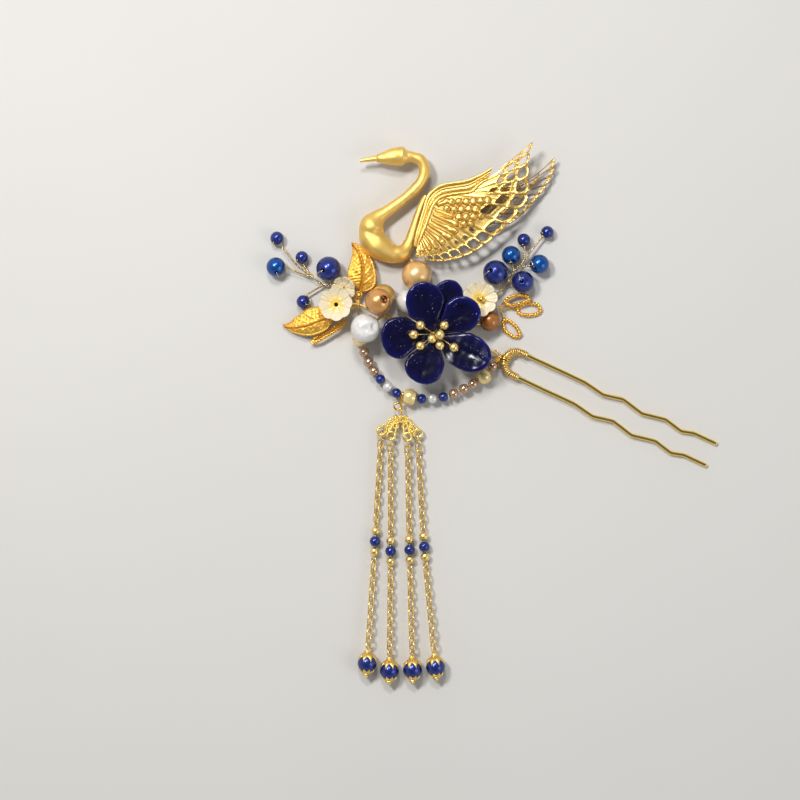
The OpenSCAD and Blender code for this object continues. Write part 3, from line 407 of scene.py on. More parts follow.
def finishMaterial(add, colour, roughness, height, bump, depth=0.0002, **sockets):
    # the shader, with a fine relief
    relief = add("Bump", Strength=bump, Distance=depth, Height=height)[0]
    shader = add("BsdfPrincipled", Base_Color=colour, Roughness=roughness, Normal=relief, **sockets)[0]
    add("OutputMaterial", Surface=shader)


def goldMaterial(name, slot, bright, deep, rough, spread, bump, broad=300.0, fine=4000.0, grain=0.3, wave=0.3,
                 hollow=1.0):
    # plated metal: lighter on sharp convex edges, darker and duller in hollow places and where the tone marks them, the
    # darkening being painted shade
    add, cast = newMaterial(name, slot, broad, fine, grain, wave)
    hollows = add("Group", {"node_tree": shadeAndEdgeGroup}, Strength=hollow)
    streaks = tuple(0.82 * c + 0.18 * d for c, d in zip(bright, deep))
    edgeLighter = tuple(min(1.0, c * 1.12) for c in bright)
    colour = mixNode(add, cast["Polish"], bright, streaks)
    # painted shade in hollow places and where the tone marks them, then lighter on sharp convex edges
    colour = mixNode(add, hollows["Hollow"], colour, deep)
    colour = mixNode(add, hollows["Edge"], colour, edgeLighter)
    gloss = rampNode(add, cast["Polish"], 0.3, 0.7, rough, rough + spread)
    duller = mathNode(add, "MULTIPLY_ADD", hollows["Hollow"], 0.25, gloss)
    finishMaterial(add, colour, duller, cast["Height"], bump, 0.0001, Metallic=1.0)


def pearlMaterial(name, slot, face, rim, metal, rough, coat, mottle=0.25, hole=(0.02, 0.015, 0.01)):
    # pearl coat: one colour facing the eye and a darker one towards the rim as painted shade, under a clear gloss; the
    # hole painted dark as painted shade
    add, cast = newMaterial(name, slot, 500.0, 6000.0, 0.15, 0.6)
    # painted shade: darker towards the rim, where the surface turns away from the eye
    colour = mixNode(add, add("LayerWeight", Blend=0.45)["Facing"], face, rim)
    patch = rampNode(add, cast["Stain"], 0.35, 0.7, 0.0, mottle)
    colour = mixNode(add, patch, colour, tuple(0.6 * c for c in rim))
    # painted shade in the hole
    colour = mixNode(add, toneNode(add), colour, hole)
    gloss = rampNode(add, cast["Polish"], 0, 1, rough - 0.04, rough + 0.08)
    finishMaterial(add, colour, gloss, cast["Height"], 0.05, Metallic=metal, Coat_Weight=coat, Coat_Roughness=0.06)


def lapisMaterial(name, chalk=None):
    # deep blue stone: clouded, with painted rim light that makes the rims a lighter, more saturated blue (tone), with
    # pale specks, and a chalky patch given by its middle and reach
    add, cast = newMaterial(name, "lapis", 260.0, 2600.0, 0.3, 0.5)
    cloud = rampNode(add, cast["Polish"], 0.35, 0.7)
    colour = mixNode(add, cloud, (0.0016, 0.0013, 0.012), (0.0036, 0.003, 0.038))
    # painted rim light: the tone turns the rims a lighter, saturated blue
    colour = mixNode(add, toneNode(add), colour, (0.005, 0.006, 0.13))
    where = add("TexCoord")["Object"]
    cells = add("TexVoronoi", {"feature": "F1"}, Vector=where, Scale=1000.0)["Distance"]
    patches = rampNode(add, noiseNode(add, 170.0, 2.0), 0.5, 0.68, 0.0, 0.7)
    specks = mathNode(add, "MULTIPLY", rampNode(add, cells, 0.2, 0.1), patches)
    colour = mixNode(add, specks, colour, (0.42, 0.45, 0.62))
    if chalk:
        middle, reach = chalk
        spot = add("Mapping", Vector=where, Location=tuple(-v * mm for v in middle))[0]
        far = add("VectorMath", {"operation": "LENGTH"}, i0=spot)["Value"]
        ragged = noiseNode(add, 900.0, 5.0, Roughness=0.7)
        torn = mathNode(add, "MULTIPLY_ADD", ragged, reach * 0.0018, far)
        patch = rampNode(add, torn, reach * 0.0018, reach * 0.0011, 0.0, 0.75)
        colour = mixNode(add, patch, colour, (0.26, 0.265, 0.27))
    gloss = rampNode(add, cast["Polish"], 0, 1, 0.12, 0.24)
    finishMaterial(add, colour, gloss, cast["Height"], 0.25, Specular_IOR_Level=0.35, Coat_Weight=0.05,
                   Coat_Roughness=0.12)


def shellMaterial(name, yellow):
    # mother of pearl: milky, warm and yellower towards the hole (tone), with a soft gloss
    add, cast = newMaterial(name, "shell", 420.0, 3200.0, 0.3, 0.6)
    colour = mixNode(add, cast["Stain"], (0.84, 0.75, 0.55), (0.72, 0.62, 0.40))
    colour = mixNode(add, toneNode(add), colour, yellow)
    colour = mixNode(add, add("LayerWeight", Blend=0.3)["Facing"], colour, (0.74, 0.71, 0.64))
    finishMaterial(add, colour, 0.32, cast["Height"], 0.3, Subsurface_Weight=0.25, Subsurface_Scale=0.001,
                   Subsurface_Radius=(0.9, 0.7, 0.4), Coat_Weight=0.5, Coat_Roughness=0.12)


def floorMaterial(name):
    # pale matt paper with a faint tooth
    add, cast = newMaterial(name, None, 8.0, 1500.0, 0.5, 0.1)
    colour = mixNode(add, cast["Stain"], (0.60, 0.59, 0.57), (0.64, 0.63, 0.61))
    finishMaterial(add, colour, 0.85, cast["Height"], 0.1)


# the colour in the hollows is the painted shade colour, and a last number, where given, is how strong that painted
# shade is
golds = {  # slot, colour, colour in the hollows, least roughness, its spread, relief, then the cast surface
    "polishedGold": ("polished_gold", (0.86, 0.56, 0.13), (0.20, 0.085, 0.012), 0.17, 0.14, 0.12),
    "pinGold": ("polished_gold", (0.98, 0.70, 0.18), (0.25, 0.12, 0.015), 0.11, 0.08, 0.08),
    "satinGold": ("satin_gold", (0.97, 0.67, 0.20), (0.36, 0.18, 0.03), 0.46, 0.10, 0.3, 180.0, 7000.0, 0.7, 0.5, 0.7),
    "wingGold": ("polished_gold", (0.94, 0.65, 0.20), (0.34, 0.17, 0.03), 0.30, 0.12, 0.08, 500.0, 2500.0,
                 0.15, 0.4, 0.9),
    "backWingGold": ("polished_gold", (0.80, 0.57, 0.22), (0.2, 0.1, 0.02), 0.28, 0.18, 0.3, 500.0, 3500.0, 0.5, 0.6),
    "leafGold": ("polished_gold", (0.92, 0.57, 0.12), (0.44, 0.21, 0.02), 0.44, 0.12, 0.2, 600.0, 2600.0,
                 0.6, 0.5, 0.9),
    "windingGold": ("satin_gold", (0.78, 0.56, 0.20), (0.2, 0.1, 0.02), 0.28, 0.12, 0.1),
    "stemGold": ("polished_gold", (0.72, 0.56, 0.28), (0.25, 0.15, 0.05), 0.22, 0.12, 0.1),
    "ropeGold": ("polished_gold", (0.86, 0.52, 0.10), (0.26, 0.11, 0.012), 0.22, 0.14, 0.1),
    "stamenGold": ("polished_gold", (1.0, 0.75, 0.30), (0.36, 0.19, 0.04), 0.33, 0.12, 0.12),
    "beadGold": ("polished_gold", (0.98, 0.74, 0.28), (0.30, 0.15, 0.03), 0.28, 0.12, 0.12),
    "capGold": ("polished_gold", (0.96, 0.70, 0.23), (0.34, 0.16, 0.03), 0.28, 0.14, 0.12),
    "chainGold": ("polished_gold", (0.84, 0.62, 0.24), (0.26, 0.13, 0.03), 0.26, 0.12, 0.12),
    # finish of the flat dark disc that is painted shade in the left shell's hole
    "paintedHoleShade": (None, (0.03, 0.018, 0.006), (0.01, 0.006, 0.002), 0.5, 0.2, 0.15),
}
# the darker colour at the rim is painted shade, and the hole colour is painted shade
pearls = {  # slot, colour facing the eye, colour at the rim, metal, roughness, coat, then clouding and hole
    "navyPearl": ("navy_pearl", (0.024, 0.044, 0.28), (0.008, 0.012, 0.08), 0.6, 0.26, 0.4),
    "tealPearl": ("teal_pearl", (0.004, 0.10, 0.42), (0.002, 0.02, 0.11), 0.6, 0.26, 0.4),
    "whitePearl": ("white_pearl", (0.82, 0.81, 0.79), (0.58, 0.56, 0.53), 0.05, 0.27, 0.6, 0.35),
    "peachPearl": ("peach_pearl", (0.90, 0.58, 0.25), (0.56, 0.29, 0.08), 0.45, 0.3, 0.5),
    "yellowPearl": ("peach_pearl", (0.72, 0.46, 0.12), (0.42, 0.23, 0.04), 0.4, 0.3, 0.5),
    "bronzePearl": ("bronze_pearl", (0.74, 0.38, 0.12), (0.46, 0.19, 0.05), 0.55, 0.28, 0.5, 0.25, (0.20, 0.06, 0.018)),
    "brownPearl": ("bronze_pearl", (0.46, 0.18, 0.035), (0.22, 0.07, 0.014), 0.4, 0.32, 0.5),
    "copperPearl": ("copper_pearl", (0.64, 0.42, 0.27), (0.30, 0.16, 0.09), 0.75, 0.2, 0.6),
    "creamPearl": ("cream_pearl", (1.0, 0.80, 0.38), (0.70, 0.48, 0.15), 0.45, 0.26, 0.6),
    "seedWhite": ("white_pearl", (0.78, 0.78, 0.76), (0.48, 0.48, 0.48), 0.3, 0.24, 0.6),
}
for name, row in golds.items():
    goldMaterial(name, *row)
for name, row in pearls.items():
    pearlMaterial(name, *row)
lapisMaterial("lapis")
lapisMaterial("chalkyLapis", chalk=((-14.6, 18.4, 10.8), 2.2))
shellMaterial("warmShell", (0.86, 0.60, 0.08))
shellMaterial("whiteShell", (0.80, 0.68, 0.40))
floorMaterial("paleFloor")
print("materials made")


# The U pin, its winding and the joint beside it

pinSpec = {
    "at": (8.0, 16.8, 1.9), "turn": -25.0, "tilt": 0.95,   # the bend's middle, degrees
    "spread": 8.0, "wire": 1.3, "end": 71.44,              # end: middle of each tip, along the pin
    "upperKinks": [(23.2, 4.0), (30.4, 2.8), (37.2, 4.3), (44.9, 2.6), (53.0, 4.2), (59.3, 2.8), (63.44, 4.0)],
    "lowerKinks": [(23.2, 4.0), (30.4, 5.2), (37.2, 3.7), (44.9, 5.4), (53.0, 3.8), (59.3, 5.2), (63.44, 4.0)],
    "softness": 0.9,                                       # how round the kinks are
}
pinR = pinSpec["wire"] / 2
pinTurn = turnMatrix("Z", math.radians(pinSpec["turn"])) @ turnMatrix("Y", math.radians(pinSpec["tilt"]))


def inPinFrame(points):
    # tilts about Y, turns about Z, then moves to the bend
    return np.asarray(points, float) @ pinTurn.T + pinSpec["at"]


def makePin():
    # a tube along leg, bend and leg, a little uneven, its radius falling to nothing at the round tips
    half, end = pinSpec["spread"] / 2, pinSpec["end"]
    a = np.radians(np.linspace(90, 270, 25))
    bend = np.stack([half * np.cos(a), half * np.sin(a), 0 * a], -1)
    upper = [(end, half, 0)] + [(x, y, 0) for x, y in pinSpec["upperKinks"][::-1]]
    lower = [(x, -y, 0) for x, y in pinSpec["lowerKinks"]] + [(end, -half, 0)]
    path = softened(np.concatenate([upper, bend, lower]), 0.25, pinSpec["softness"])
    path += noise3(path, 14, 3)[:, None] * [0, 0.05, 0.03] * ramp(path[:, :1], end - 8, end - 16)
    b = np.linspace(np.pi / 2, 0.02, 7)
    tips = [np.stack([end + pinR * np.cos(b), np.full(7, y), 0 * b], -1) for y in (half, -half)]
    path = np.concatenate([tips[0][::-1], path[1:-1], tips[1]])
    r = np.concatenate([pinR * np.sin(b)[::-1], np.full(len(path) - 14, pinR), pinR * np.sin(b)])
    tube = tubePart(path, r, 16)
    makePiece("uPin", [reshaped(tube, inPinFrame(tube[0]))], "pinGold", "pin")


windingSpec = {
    "straight": 1.9, "length": 16.87, "pitch": 0.64, "wire": 0.30, "core": 0.86, "perTurn": 18,
    # share of the length at its start and end, share of the turns, how far above the pin, noise
    "layers": [(0.0, 1.0, 1.0, 0.0, 1), (0.30, 0.62, 0.26, 0.22, 5)],
}


def bendPlace(s):
    # places on the pin's middle line at lengths s from the upper end of the winding, and the way out
    half, upper = pinSpec["spread"] / 2, windingSpec["straight"]
    end = upper + np.pi * half
    a = np.pi / 2 + np.clip((s - upper) / half, 0, np.pi)
    out = np.stack([np.cos(a), np.sin(a), 0 * a], -1)
    middle = out * half
    middle[:, 0] += np.where(s < upper, upper - s, 0) + np.where(s > end, s - end, 0)
    return middle, out


def makeWinding():
    # helix: middle + R (out cos a + Z sin a), one turn for each pitch, with a few crossing turns on top
    spec = windingSpec
    parts = []
    for first, last, share, lift, seed in spec["layers"]:
        count = spec["length"] / spec["pitch"] * share
        n = int(count * spec["perTurn"])
        s = np.linspace(first, last, n) * spec["length"]
        a = np.linspace(0, tau * count, n)
        middle, out = bendPlace(s)
        ahead = unit(np.gradient(middle, axis=0))
        wobble = noise3(np.stack([s, a * 0.1, 0 * s], -1), 3.0, seed)[:, None]
        spoke = out * np.cos(a)[:, None] + np.array([0, 0, 1]) * np.sin(a)[:, None]
        path = middle + (pinR + spec["wire"] + 0.03 + lift + 0.03 * wobble) * spoke + ahead * (0.1 * wobble)
        parts.append(tubePart(path, spec["wire"], 8, ahead))
    core = bendPlace(np.linspace(0.01, 0.99, 60) * spec["length"])[0]
    parts.append(tubePart(core, spec["core"], 12, tone=np.ones(60)))      # shade between the turns
    part = joined(parts)
    makePiece("bendWinding", [reshaped(part, inPinFrame(part[0]))], "windingGold", "pin_wrap")


jointSpec = {
    "turns": [(-0.42, 6, 1.58), (0.02, -9, 1.66), (0.44, 4, 1.58)],       # side, slant in degrees, radius
    "turnWire": 0.24, "gap": 0.6 + 0.35 + 0.25,                           # gap: from the pin to the cap
    "cap": [(0.30, 0.4), (0.42, 0.55), (0.75, 1.0), (1.05, 1.6), (1.2, 2.1), (1.28, 2.45),
            (1.18, 2.5), (1.05, 2.1), (0.9, 1.6), (0.6, 1.1), (0.28, 0.8), (0.2, 0.5)],
    "stem": [(0, 0, -0.25), (0.05, 0.05, 0.4), (0, 0, 0.9)],
    "tail": [(-0.3, 0.5, 0.5), (-0.9, 1.5, 1.0), (-1.6, 1.9, 0.6), (-1.9, 1.3, 0.2)],
    "swagEnd": (0.1, 15.9, 2.9),
}
pinWay = unit(inPinFrame([[1, 0, 0]])[0] - inPinFrame([[0, 0, 0]])[0])
throat = np.array(pinSpec["at"]) - pinWay * 4 - pinWay * (pinR + jointSpec["gap"])


def makeJoint():
    # three crossing turns of wire over the bend, and a crumpled bead cap whose six points open outwards
    spec = jointSpec
    parts = []
    for side, slant, r in spec["turns"]:
        a = circle(30)
        ring = np.stack([r * np.cos(a), side + math.radians(slant) * r * np.sin(a), r * np.sin(a)], -1)
        ring += noise3(ring, 2.0, 7)[:, None] * 0.05
        tube = tubePart(ring, spec["turnWire"], 8, (0, 1, 0), True)
        parts.append(reshaped(tube, inPinFrame(tube[0] - [4, 0, 0])))
    way = unit(np.array(spec["swagEnd"]) - throat)
    r, z = (np.array(spec["cap"])[:, k:k + 1] for k in (0, 1))
    a = circle(48)
    wave = np.cos(6 * a) * np.maximum(z - 1.2, 0)
    r = r * (1 + 0.12 * wave)
    cup = sheetPart(np.stack([r * np.cos(a), r * np.sin(a), z + 0.42 * wave], -1), True, True)
    cup = reshaped(cup, cup[0] + noise3(cup[0], 1.1, 9)[:, None] * [0.09, 0.09, 0.05])
    parts += [moved(cup, throat, way), moved(wirePart(spec["stem"], 0.3, 8, (1, 0, 0)), throat, way),
              wirePart(throat + spec["tail"], 0.2, 8)]
    makePiece("bendJoint", parts, "polishedGold", "pin_joint", 50)


makePin()
makeWinding()
makeJoint()
print("pin made")


# The swan: rings swept along its middle line

swanTable = [  # x, y, z, width, thickness, from the beak's tip to the wing's arm
    (-44.0, 84.0, 4.6, 0.9, 0.8), (-41.6, 84.4, 4.7, 1.5, 1.4), (-38.9, 84.7, 4.9, 2.0, 1.9),
    (-36.6, 84.9, 4.9, 3.6, 3.3), (-33.7, 85.3, 5.0, 5.3, 4.7), (-31.0, 85.5, 5.0, 6.1, 4.8),
    (-28.7, 85.4, 4.9, 4.6, 4.1), (-26.5, 85.3, 4.8, 3.5, 3.6), (-24.1, 84.4, 4.7, 3.6, 3.6),
    (-22.8, 82.4, 4.6, 3.5, 3.5), (-22.6, 79.9, 4.5, 3.6, 3.6), (-23.7, 77.0, 4.4, 3.6, 3.6),
    (-26.0, 74.3, 4.3, 3.6, 3.6), (-29.0, 71.7, 4.2, 3.5, 3.5), (-32.2, 69.3, 4.1, 3.6, 3.6),
    (-35.3, 67.2, 4.1, 4.0, 4.2), (-38.2, 65.0, 4.1, 5.4, 5.4), (-40.1, 61.8, 4.2, 8.2, 8.0),
    (-39.7, 58.2, 4.2, 8.4, 8.2), (-37.0, 55.1, 4.1, 7.6, 7.8), (-33.1, 53.3, 3.8, 6.4, 6.8),
    (-29.8, 53.7, 3.5, 5.6, 5.8), (-27.9, 56.2, 3.1, 4.2, 4.2), (-26.3, 60.6, 3.0, 3.2, 3.2),
    (-24.8, 65.6, 3.0, 2.8, 2.8), (-23.2, 70.2, 3.0, 2.2, 2.2), (-22.0, 72.6, 3.0, 1.4, 1.4),
]
swanSpec = {
    "rings": 300, "sides": 40, "hammered": 0.10,
    # swellings: place in the table, share of the width and thickness that is added, length
    "steps": [(2.05, -0.06, 0.25), (2.45, 0.12, 0.22), (5.55, 0.12, 0.32), (6.2, -0.07, 0.3), (15.2, -0.05, 0.5),
              (16.5, 0.10, 0.4), (17.4, -0.05, 0.3), (19.0, 0.05, 0.6), (20.3, -0.04, 0.5)],
    # bumps on one side: place in the table and its length, angle round the ring and its width, share
    "bumps": [(3.9, 0.6, 1.9, 0.4, 0.06), (17.45, 0.4, 0.95, 0.4, -0.12)],
    "crease": 17.6, "creaseDepth": 0.07, "beakLine": 2.4,
}


def makeSwan():
    # ring = middle + width/2 cos a across + thickness/2 sin a up, each swelled by the steps, with a brow
    # over the eye, an uneven hand-cast skin, and a soft crease round the body
    spec = swanSpec
    u = np.linspace(0, 1, spec["rings"])
    row = along(swanTable, u)
    t = heading(swanTable, u, 0.01)
    across = np.stack([-t[:, 1], t[:, 0], 0 * u], -1)
    a = (np.arange(spec["sides"]) + 0.5) * tau / spec["sides"]
    place = u[:, None] * (len(swanTable) - 1)
    fold, upper = place - 0.5 * np.cos(a), np.clip(np.sin(a), 0, 1)
    swell = (1 + 0.03 * np.cos(6 * a) * hump(place, 18.4, 1.6)
             - spec["creaseDepth"] * hump(fold, spec["crease"], 0.22) * upper)
    for middle, share, length in spec["steps"]:
        swell += share * hump(place, middle, length)
    for middle, length, angle, width, share in spec["bumps"]:
        swell += share * hump(place, middle, length) * hump(a, angle, width)
    middles, halves = row[:, None, :3], row[:, None, 3:] / 2
    ring = (halves[..., :1] * np.cos(a)[:, None] * across[:, None]
            + halves[..., 1:] * np.sin(a)[:, None] * np.array([0, 0, 1]))
    grid = middles + ring * swell[..., None]
    skin = noise3(grid, 8.0, 21) + 0.5 * noise3(grid, 3.2, 22)
    grid = grid + skin[..., None] * spec["hammered"] * unit(grid - middles)
    # painted shade: the tone darkens the crease on the body's upper side and a line round the beak's step
    tone = 0.35 * hump(fold, spec["crease"], 0.2) * upper + 0.4 * hump(place, spec["beakLine"], 0.12)
    makePiece("swanBody", [sheetPart(grid, False, True, True, np.clip(tone, 0, 1))], "satinGold", "swan")


makeSwan()
print("swan made")


# The wings: a plate whose places are u, from the top feather to the lowest, and v, from the outer
# ridge at -1 over the inner ridge at 0 to the tips at 1

wingSpec = {
    "front": {
        # outer ridge, inner ridge and tip, from the top feather to the lowest
        "rows": [(-0.2, 81.5, -1.6, 77.9, 13.6, 90.4), (-3.5, 79.4, -4.6, 76.0, 12.1, 85.0),
                 (-8.6, 77.2, -7.2, 73.6, 11.9, 78.4),
                 (-13.4, 76.4, -12.2, 72.9, 11.6, 71.4), (-17.6, 75.4, -16.9, 71.9, 6.4, 64.4),
                 (-21.2, 72.4, -19.4, 69.6, 0.6, 58.6),
                 (-22.8, 67.6, -20.9, 66.2, -7.0, 53.2), (-24.2, 62.8, -22.4, 62.0, -14.8, 50.9),
                 (-25.4, 58.6, -24.0, 58.2, -20.9, 50.9),
                 (-26.0, 55.6, -25.0, 55.4, -25.6, 52.3)],
        "feathers": 16, "sag": 0.0, "spread": ((0, 3, 7, 16), (0, 2, 5, 9)),   # feather number against row number
        "low": 5.5, "rise": 1.4, "columns": 17, "lines": (14, 46, 58), "notch": 0.05, "bar": 0.27,
        # openings: from, to, first and last feather, least bar beside it
        "openings": [(0.40, 0.50, 0, 4, 0.8), (0.585, 0.725, 0, 6, 0.55), (0.80, 0.95, 0, 7, 0.52),
                     (0.80, 0.945, 7, 16, 0.42), (0.66, 0.73, 7, 12, 1.15)],
        # round scales: x, y, radius; long coverts: x, y of both ends, both radii
        "scales": [(-13.6, 70.2, 1.15), (-11.2, 70.3, 1.2), (-8.8, 70.4, 1.2), (-6.4, 70.5, 1.2),
                   (-4.0, 70.6, 1.2), (-1.7, 70.9, 1.1),
                   (-15.2, 67.9, 1.15), (-12.8, 67.7, 1.2), (-10.4, 67.8, 1.2), (-8.0, 67.9, 1.2),
                   (-5.6, 68.0, 1.2), (-3.2, 68.1, 1.15),
                   (-11.2, 65.3, 1.2), (-8.8, 65.2, 1.2), (-6.4, 65.3, 1.2), (-4.0, 65.5, 1.1),
                   (-9.6, 62.8, 1.15), (-7.2, 62.8, 1.1)],
        "coverts": [(-18.0, 69.3, -15.2, 70.6, 0.55, 0.9), (-18.6, 67.4, -13.6, 65.7, 0.5, 0.95),
                    (-19.4, 65.9, -12.2, 63.0, 0.5, 0.95),
                    (-20.0, 64.2, -12.4, 60.6, 0.5, 0.95), (-20.8, 62.6, -14.3, 58.6, 0.5, 0.95),
                    (-21.6, 61.0, -16.6, 56.9, 0.5, 0.95),
                    (-22.2, 59.6, -18.8, 55.6, 0.5, 0.9), (-23.0, 58.2, -21.0, 54.9, 0.45, 0.8),
                    (-23.8, 56.8, -23.2, 54.4, 0.4, 0.7)],
        # beads of metal: share from the outer to the inner ridge, radius, height, share of the length
        "ridges": [(0, 0.46, 0.4), (0.33, 0.32, 0.3, 0.97), (0.97, 0.42, 0.45, 0.98)]},
    "back": {
        "rows": [(-4.0, 79.6, -3.0, 77.5, 20.9, 85.6), (-9.0, 75.4, -8.0, 74.0, 20.6, 81.0),
                 (-14.0, 73.2, -13.0, 71.8, 18.2, 76.0),
                 (-20.4, 71.0, -18.4, 69.8, 14.2, 70.9), (-22.75, 67.0, -21.2, 66.2, 9.0, 65.4),
                 (-23.95, 62.4, -22.4, 62.0, 1.0, 60.6)],
        "feathers": 8, "sag": 5.0, "spread": ((0, 8),
                                              (0, 5)), "low": 1.5, "rise": 1.2, "columns": 18, "lines": (14,
                                              30,
                                              64),
                                              "notch": 0.05, "bar": 0.2,
        "openings": [(0.47, 0.60, 0, 8, 0.5), (0.63, 0.76, 0, 8, 0.25),
                     (0.79, 0.95, 0, 8, 0.2)], "scales": [], "coverts": [],
        "ridges": [(0, 0.36, 0.4)]},
    "plate": 0.75, "relief": 0.7, "corner": 4.5, "topEdge": 0.12, "evenFrom": 0.78,
}


def lifted(place, height):
    # flat places with a height
    return np.concatenate([place, np.broadcast_to(height, place.shape[:-1])[..., None]], -1)


def shapedPlate(tops, unders, keep, tone):
    # top and under grids joined by walls round every place that keep leaves out
    m, n = tops.shape[:2]
    index = np.arange(m * n).reshape(m, n)
    a, b, c, d = index[:-1, :-1], index[1:, :-1], index[1:, 1:], index[:-1, 1:]
    under = m * n
    faces = np.stack([a, b, c, d], -1)[keep]
    around = np.pad(keep, 1)
    walls = []
    for p, q, beside in ((a, b, around[1:-1, :-2]), (b, c, around[2:, 1:-1]), (c, d, around[1:-1, 2:]),
                         (d, a, around[:-2, 1:-1])):
        edge = keep & ~beside
        walls.append(np.stack([p[edge], q[edge], q[edge] + under, p[edge] + under], -1))
    quads = np.concatenate([faces[:, ::-1], faces + under] + walls)
    points = np.concatenate([tops.reshape(-1, 3), unders.reshape(-1, 3)])
    used = np.unique(quads)
    renumber = np.zeros(len(points), int)
    renumber[used] = np.arange(len(used))
    # painted shade: the under side is toned dark, and the walls darken from the top's tone down to it
    tones = np.concatenate([tone.ravel(), np.full(m * n, 0.6)])
    return points[used], renumber[quads], np.zeros((0, 3), int), tones[used]


def wingPlaces(spec, u, v):
    # inner ridge + v (tip - inner ridge), or + v (inner - outer ridge) on the band, and the upper feathers
    # hang by sag sin(pi v) (1 - u / feathers)^2; lengths of band and fan
    row = blend(spec["rows"], np.interp(u.ravel(), *spec["spread"])).reshape(u.shape + (6,))
    outer, inner, tip = row[..., 0:2], row[..., 2:4], row[..., 4:6]
    band, fan = inner - outer, tip - inner
    place = inner + np.where(v[..., None] < 0, band, fan) * v[..., None]
    place[..., 1] -= spec["sag"] * np.sin(np.pi * np.clip(v, 0, 1)) * (1 - u / spec["feathers"]) ** 2
    return place, np.linalg.norm(band, axis=-1), np.linalg.norm(fan, axis=-1)


def openingPlace(opening, across, out, number, wide):
    # |x|^p + |y|^p: how far out a point is, 1 on the opening's edge, and the opening's middle; the inner
    # rows step out and in by turns, and the top feather has a stouter upper edge
    low, high, bar, corner = opening[0], opening[1], opening[4], wingSpec["corner"]
    half = (high - low) / 2
    middle = (low + high) / 2 + 0.3 * half * (-1.0) ** number * (low < wingSpec["evenFrom"])
    stout = wingSpec["topEdge"] * (number < 1)
    x = (across - 0.5 - stout) / np.maximum(0.5 - stout - bar / wide, 0.1)
    return (np.abs(x) ** corner + np.abs((out - middle) / half) ** corner) ** (1 / corner), middle


def touched(faces, outside):
    # the grid's points that at least one of these faces touches
    p = np.pad(faces, 1, constant_values=outside)
    return p[1:, 1:] | p[:-1, 1:] | p[1:, :-1] | p[:-1, :-1]


def scaleDomes(spec, place):
    # height of the round scales, sqrt(1 - d^4), and of the coverts, sqrt(1 - d^2), d being the distance
    # from the middle as a share of the radius; and the least d
    dome, near = np.zeros(place.shape[:-1]), np.full(place.shape[:-1], 9.0)
    for x, y, r in spec["scales"]:
        d = np.linalg.norm(place - [x, y], axis=-1) / r
        dome, near = np.maximum(dome, np.sqrt(np.clip(1 - d ** 4, 0, 1))), np.minimum(near, d)
    for x0, y0, x1, y1, r0, r1 in spec["coverts"]:
        way = np.array([x1 - x0, y1 - y0])
        t = np.clip(((place - [x0, y0]) @ way) / (way @ way), 0, 1)
        d = np.linalg.norm(place - [x0, y0] - t[..., None] * way, axis=-1) / (r0 + (r1 - r0) * t)
        dome = np.maximum(dome, np.sqrt(np.clip(1 - d ** 2, 0, 1)) * (0.75 + 0.25 * t))
        near = np.minimum(near, d)
    return dome, near


